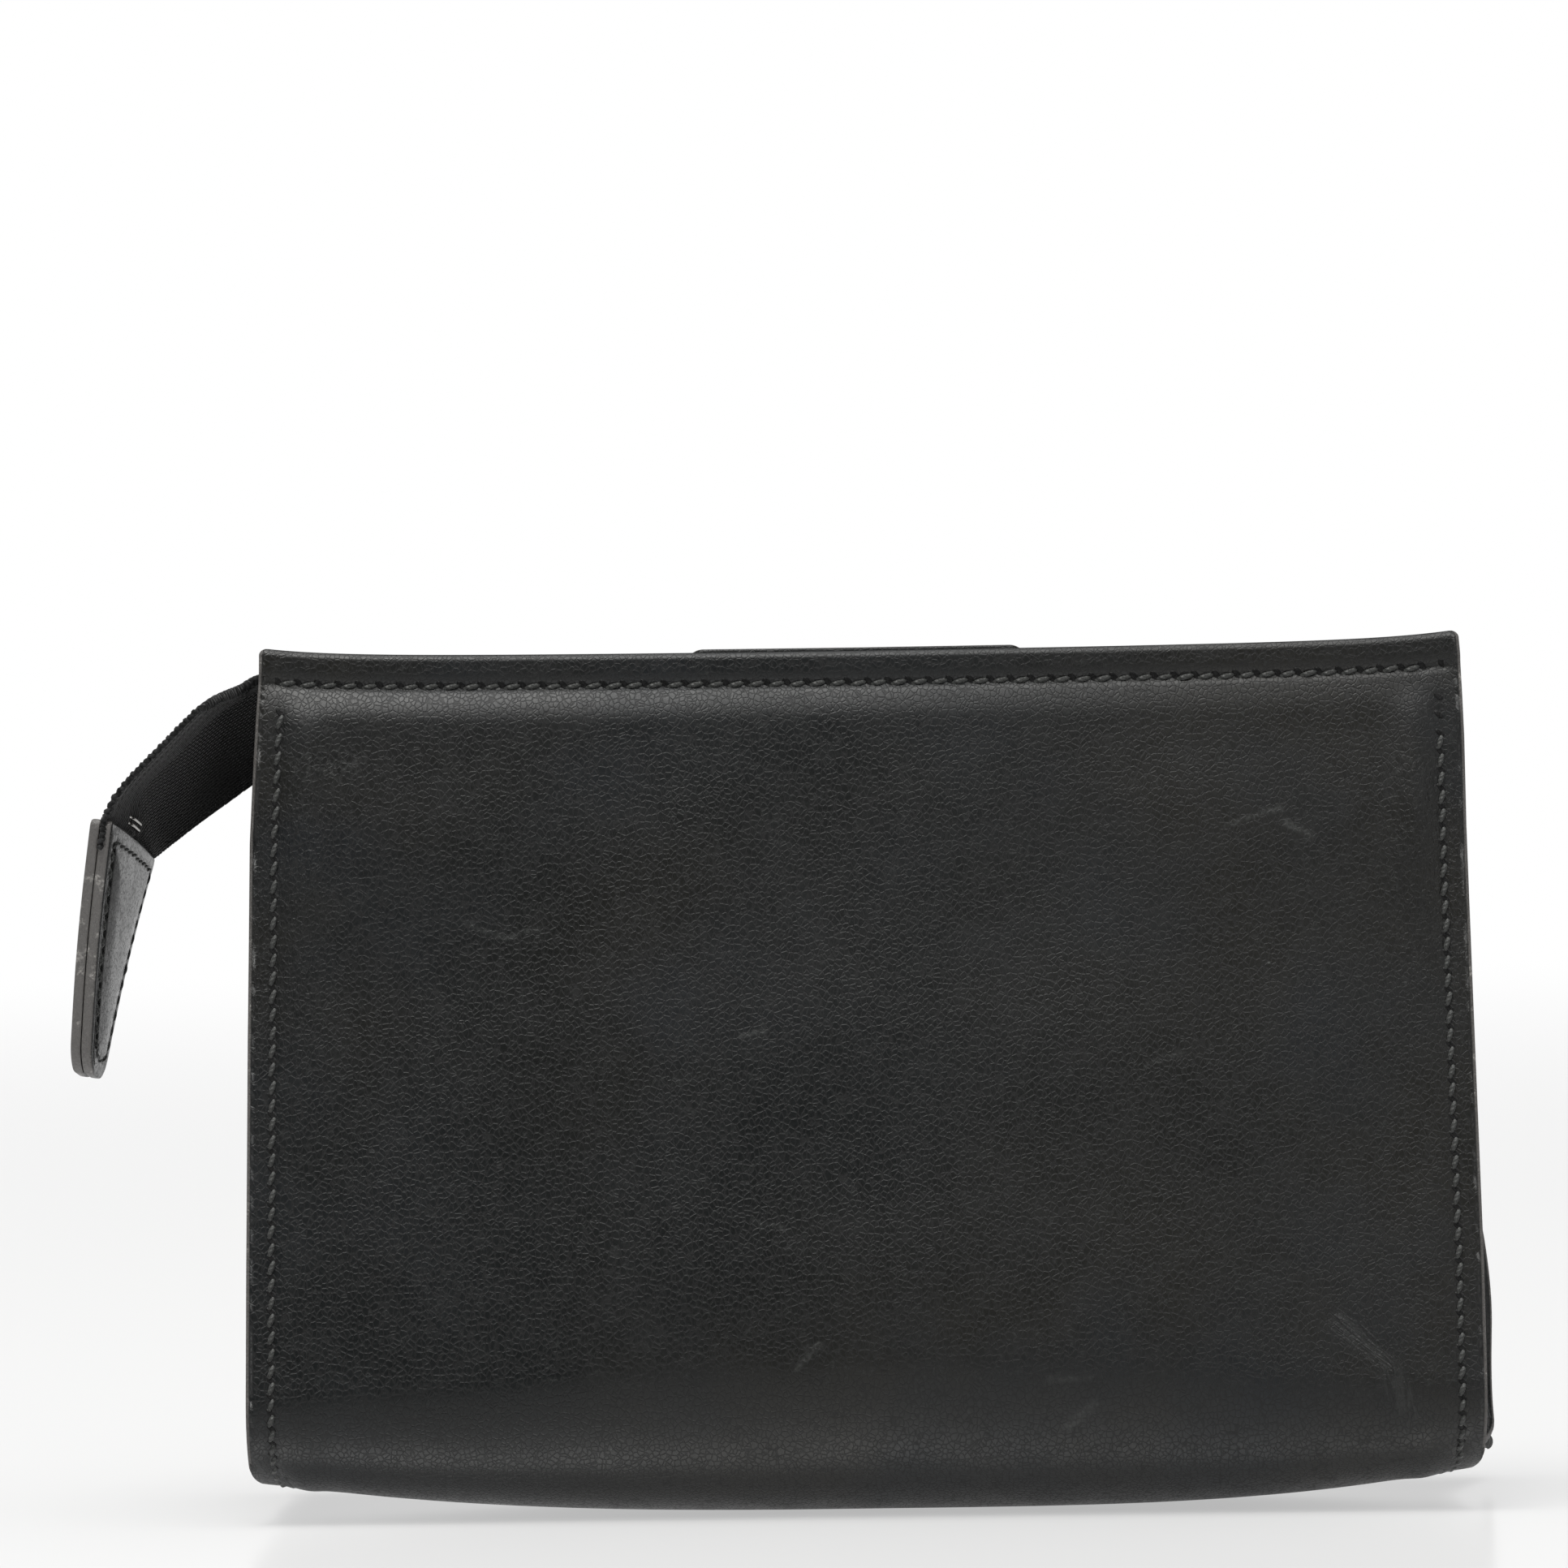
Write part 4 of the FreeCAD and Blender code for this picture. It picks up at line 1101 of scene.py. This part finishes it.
def make_stop():
    """The staple that closes the chain's end: two wires bent round both halves."""
    at = float(np.interp(-87.0, -TAIL_LINE[:, 2], TAIL_ALONG))
    centre, near, far = tail_at(np.array([at - 0.8, at, at + 0.8]))
    tangent = unit(centre[2] - centre[0])
    wide = unit(far[1] - near[1])
    up = unit(np.cross(wide, tangent))
    turn = np.linspace(0, TURN, 33)
    flat = np.sign(np.cos(turn)) * np.abs(np.cos(turn)) ** 0.5 * 2.7
    tall = np.sign(np.sin(turn)) * np.abs(np.sin(turn)) ** 0.5 * 0.80 + 0.44
    line = centre[1] + wide * flat[:, None] + up * tall[:, None]
    wires = [tube(line + tangent * off, 0.24, 8, across=tangent) for off in (-0.4, 0.4)]
    ob = add_parts("tail_staple", wires, METAL)
    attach(ob, "tail")
    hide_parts("bottom_stop")


make_stop()


# ---- the leather tab on the tail's end
TAB_W = unit(np.array([0.114, 0.977, -0.181]))  # across, near to far
TAB_A = np.array([-0.170, -0.163, -0.972])
TAB_A = unit(TAB_A - TAB_W * (TAB_A @ TAB_W))  # down its length
TAB_N = np.cross(TAB_A, TAB_W)  # out of the face that shows
TAB_LENGTH, TAB_TOP_HALF, TAB_TIP_HALF, TAB_ROUND = 30.6, 14.3, 4.4, 3.4
TAB_LAYER, TAB_CORE = 1.32, 0.36
TAB_HINGE = np.array([-90.9, 0.0, 84.9]) - TAB_N * (TAB_LAYER + TAB_CORE / 2)
TAB_SHOULDER = 1.2  # radius of its two upper corners
STITCH_IN = 2.1  # the stitches, in from the edge


def tab_width(t):
    return TAB_TOP_HALF + (TAB_TIP_HALF - TAB_TOP_HALF) * t / TAB_LENGTH


def round_in(d, r):
    """How far a corner of radius r draws in, d mm along it."""
    return r - np.sqrt(np.maximum(r**2 - np.clip(d, 0, r) ** 2, 0))


def tab_half(t):
    w = tab_width(t) - round_in(t - (TAB_LENGTH - TAB_ROUND), TAB_ROUND)
    return np.maximum(w - round_in(TAB_SHOULDER - t, TAB_SHOULDER), 0.4)


def tab_path(pitch):
    """Stitch holes round the tab, in from its edge."""
    last = TAB_LENGTH - STITCH_IN
    reach = TAB_ROUND - 1.0
    t = np.linspace(STITCH_IN, last, 400)
    side = np.stack([tab_width(t) - STITCH_IN - round_in(t - (last - reach), reach), t], -1)
    foot = np.stack([np.linspace(side[-1, 0], -side[-1, 0], 40), np.full(40, last)], -1)
    head = np.stack([np.linspace(-side[0, 0], side[0, 0], 80), np.full(80, STITCH_IN)], -1)
    loop = np.concatenate([side, foot[1:-1], side[::-1] * [-1, 1], head[1:]])
    along = np.concatenate([[0], np.cumsum(np.linalg.norm(np.diff(loop, axis=0), axis=1))])
    at = np.linspace(0, along[-1], round(along[-1] / pitch) + 1)
    return np.stack([np.interp(at, along, loop[:, 0]), np.interp(at, along, loop[:, 1])], -1)


TAB_HOLES = tab_path(2.2)


def tab_place(x, t, h, lift=0.0, face=0):
    """face is 1 for the side that shows in front, -1 for the outer one, 0 between."""
    bow = -0.45 * np.sin(math.pi * np.clip(t / TAB_LENGTH, 0, 1)) - 0.6 * (x / TAB_TOP_HALF) ** 2
    inside = tab_half(np.clip(t, 0.05, TAB_LENGTH - 0.05)) - np.abs(x)
    edge = np.minimum(inside, np.minimum(t, TAB_LENGTH - t))
    d = bow + lift - face * (TAB_CORE / 2 - 0.02) * (1 - ease(edge / 1.6)) + h
    if face:
        nearest = np.min([np.hypot(x - hole_x, t - hole_t) for hole_x, hole_t in TAB_HOLES], axis=0)
        crown = 0.35 * ease((edge - 1.6) / 5.0)
        groove = 0.12 * bell(edge, STITCH_IN, 0.5)
        dimple = 0.13 * bell(nearest, 0, 0.36)
        tool = 0.09 * bell(edge, 1.15, 0.16)
        d = d + face * np.where(h * face > 0.3, crown - groove - dimple - tool, 0)
    return TAB_HINGE + TAB_W * x[..., None] + TAB_A * t[..., None] + TAB_N * d[..., None]


def make_tab():
    """Two layers of leather round the tape's end, sewn together."""
    rows, cols, few = np.linspace(0, TAB_LENGTH, 88), np.linspace(-1, 1, 80), np.linspace(-1, 1, 16)
    lift = (TAB_LAYER + TAB_CORE) / 2

    def layer(name, face):
        def place(x, t, h):
            return tab_place(x, t, h * face, lift * face, face)
        return slab(name, place, rows, tab_half, cols, few, TAB_LAYER, 0.32, LEATHER_TAB)

    inner, outer = layer("tab_face_leather", 1), layer("tab_back_leather", -1)
    core_rows = np.linspace(1.2, TAB_LENGTH - 1.2, 30)
    core = slab("tab_between", tab_place, core_rows, lambda t: np.maximum(tab_half(t) - 1.0, 0.4),
                np.linspace(-1, 1, 20), few, TAB_CORE, 0.1, TAPE)
    pieces = ((inner, "tab_inner", "leather"), (outer, "tab_outer", "leather"), (core, "tab_core", "tape"))
    for ob, node, name in pieces:
        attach(ob, "tab")
        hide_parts(node)
    parts = []
    x, t = TAB_HOLES.T
    for face in (1, -1):
        out = TAB_N * face
        holes = tab_place(x, t, np.full(len(x), face * TAB_LAYER / 2), face * lift, face) + out * 0.10
        parts += stitch_parts(holes, np.tile(out, (len(x), 1)), 0.21, 0.14 * face)
    add_threads("stitches_tab", parts, "tab", ["thread_tab"])


make_tab()


# ---- a knotted thread end below the back's right corner
def make_knot():
    across = 74.0
    t = np.linspace(70, float(panel_length(across)), 400)
    edge = skin(np.full(400, across), t, 1.0, -0.3)
    start = edge[np.argmin(np.abs(edge[:, 2] - 7.4))]
    middle = start + [0.1, 0.2, -2.6]
    s = np.linspace(0, 1, 8)[:, None]
    stalk = start * (1 - s) + middle * s + np.array([0.35, 0.3, 0]) * np.sin(math.pi * s)
    u, v = np.meshgrid(np.linspace(0, TURN, 20, endpoint=False), np.linspace(0.05, math.pi - 0.05, 12))
    radius = 0.75 * (1 + 0.18 * np.sin(3 * u + 1) * np.sin(v) ** 2 + 0.12 * np.cos(2 * v + u))
    ball = np.stack([np.sin(v) * np.cos(u), np.sin(v) * np.sin(u), 1.2 * np.cos(v)], -1)
    lump = ball * radius[..., None] + middle
    lump = (lump.reshape(-1, 3), grid_faces(12, 20, loop=True), np.stack([u, v], -1).reshape(-1, 2))
    ob = add_parts("thread_end", [tube(stalk, 0.3, 8), lump], THREAD)
    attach(ob, "bag")


make_knot()


# ---- floor, light and camera
FLOOR_GLOW = 0.61
FLOOR_REACH = 9000  # half its side


def floor_material():
    """Pale paper with a soft sheen, fading to plain white far away."""
    s = Shader("floor_paper")
    s.tree.nodes.remove(s.bsdf)
    albedo = s.noise(s.object, 900.0, 3.0) * 0.006 + 0.26
    diffuse = s.new("BsdfDiffuse", {"Color": s.join(albedo, albedo, albedo)})
    glow = s.new("Emission", {"Strength": FLOOR_GLOW})
    paper = s.new("AddShader", {0: diffuse.outputs[0], 1: glow.outputs[0]})
    sheen = s.new("BsdfGlossy", {"Color": (1.0, 1.0, 1.0), "Roughness": 0.20})
    paper = s.new("MixShader", {0: 0.26, 1: paper.outputs[0], 2: sheen.outputs[0]})
    away = s.new("Emission", {"Strength": 1.0})
    far = s.step(s.measure("LENGTH", s.object), 0.35, 3.0)
    mixed = s.new("MixShader", {0: far, 1: paper.outputs[0], 2: away.outputs[0]})
    s.put(s.out.inputs["Surface"], mixed.outputs[0])
    return s.material


corners = [(x * FLOOR_REACH, y * FLOOR_REACH, 0) for x, y in ((-1, -1), (1, -1), (1, 1), (-1, 1))]
floor = add_mesh("floor", corners, [(0, 1, 2, 3)], floor_material(), smooth=False)
floor.location.z = -0.02 * MM

# Brightness of the studio by height, from straight down (-1) to straight up (1).
SKY = [(-1.0, 0.90), (0.03, 0.85), (0.12, 0.26), (0.22, 0.04), (0.48, 0.04), (0.66, 0.25), (0.80, 1.8),
       (0.93, 3.3), (1.0, 3.4)]


def light_sky():
    """A studio seen from the bag: bright paper low down, dark room above, wide soft light overhead."""
    world = bpy.data.worlds.new("studio")
    bpy.context.scene.world = world
    world.use_nodes = True
    world.node_tree.nodes.clear()

    def new(kind, *inputs):
        node = world.node_tree.nodes.new("ShaderNode" + kind)
        for socket, value in zip(node.inputs, inputs):
            if isinstance(value, bpy.types.NodeSocket):
                world.node_tree.links.new(value, socket)
            else:
                socket.default_value = value
        return node

    _, y, z = new("SeparateXYZ", new("TexCoord").outputs["Generated"]).outputs
    # the room is darker low down in front than behind
    shift = new("MapRange", y, -0.8, 0.3, 0.12, -0.08).outputs[0]
    height = new("Math", shift, z).outputs[0]
    ramp = new("ValToRGB", new("MapRange", height, -1.0, 1.0).outputs[0])
    elements = ramp.color_ramp.elements
    while len(elements) > 1:
        elements.remove(elements[-1])
    for i, (level, value) in enumerate(SKY):
        stop = elements[0] if i == 0 else elements.new((level + 1) / 2)
        stop.position = (level + 1) / 2
        stop.color = (value, value, value, 1)
    sky = new("Background", ramp.outputs[0])
    plain = new("Background", (1, 1, 1, 1))
    seen = new("LightPath").outputs["Is Camera Ray"]
    new("OutputWorld", new("MixShader", seen, sky.outputs[0], plain.outputs[0]).outputs[0])


light_sky()


def area(name, place, target, size, watts, colour):
    data = bpy.data.lights.new(name, "AREA")
    data.shape, data.size, data.size_y, data.energy, data.color = "RECTANGLE", size[0], size[1], watts, colour
    ob = bpy.data.objects.new(name, data)
    bpy.context.scene.collection.objects.link(ob)
    ob.location = place
    ob.rotation_euler = (Vector(target) - Vector(place)).to_track_quat("-Z", "Y").to_euler()
    ob.visible_camera = False


area("softbox", (-0.30, -0.40, 1.20), (-0.02, 0, 0.08), (0.7, 0.45), 8.0, (1.0, 0.99, 0.95))
area("side", (0.95, -0.75, 0.45), (0.03, 0, 0.05), (0.6, 0.6), 1.0, (1.0, 1.0, 1.0))

scene = bpy.context.scene
scene.view_settings.view_transform = "Standard"
camera = bpy.data.objects.new("camera", bpy.data.cameras.new("camera"))
scene.collection.objects.link(camera)
camera.location = (-0.0094, -1.0, 0.0909)
camera.rotation_euler = (math.radians(90), math.radians(0.78), 0)
camera.data.sensor_width = 36.0
camera.data.lens = 181.7
camera.data.clip_start, camera.data.clip_end = 0.01, 50.0
scene.camera = camera
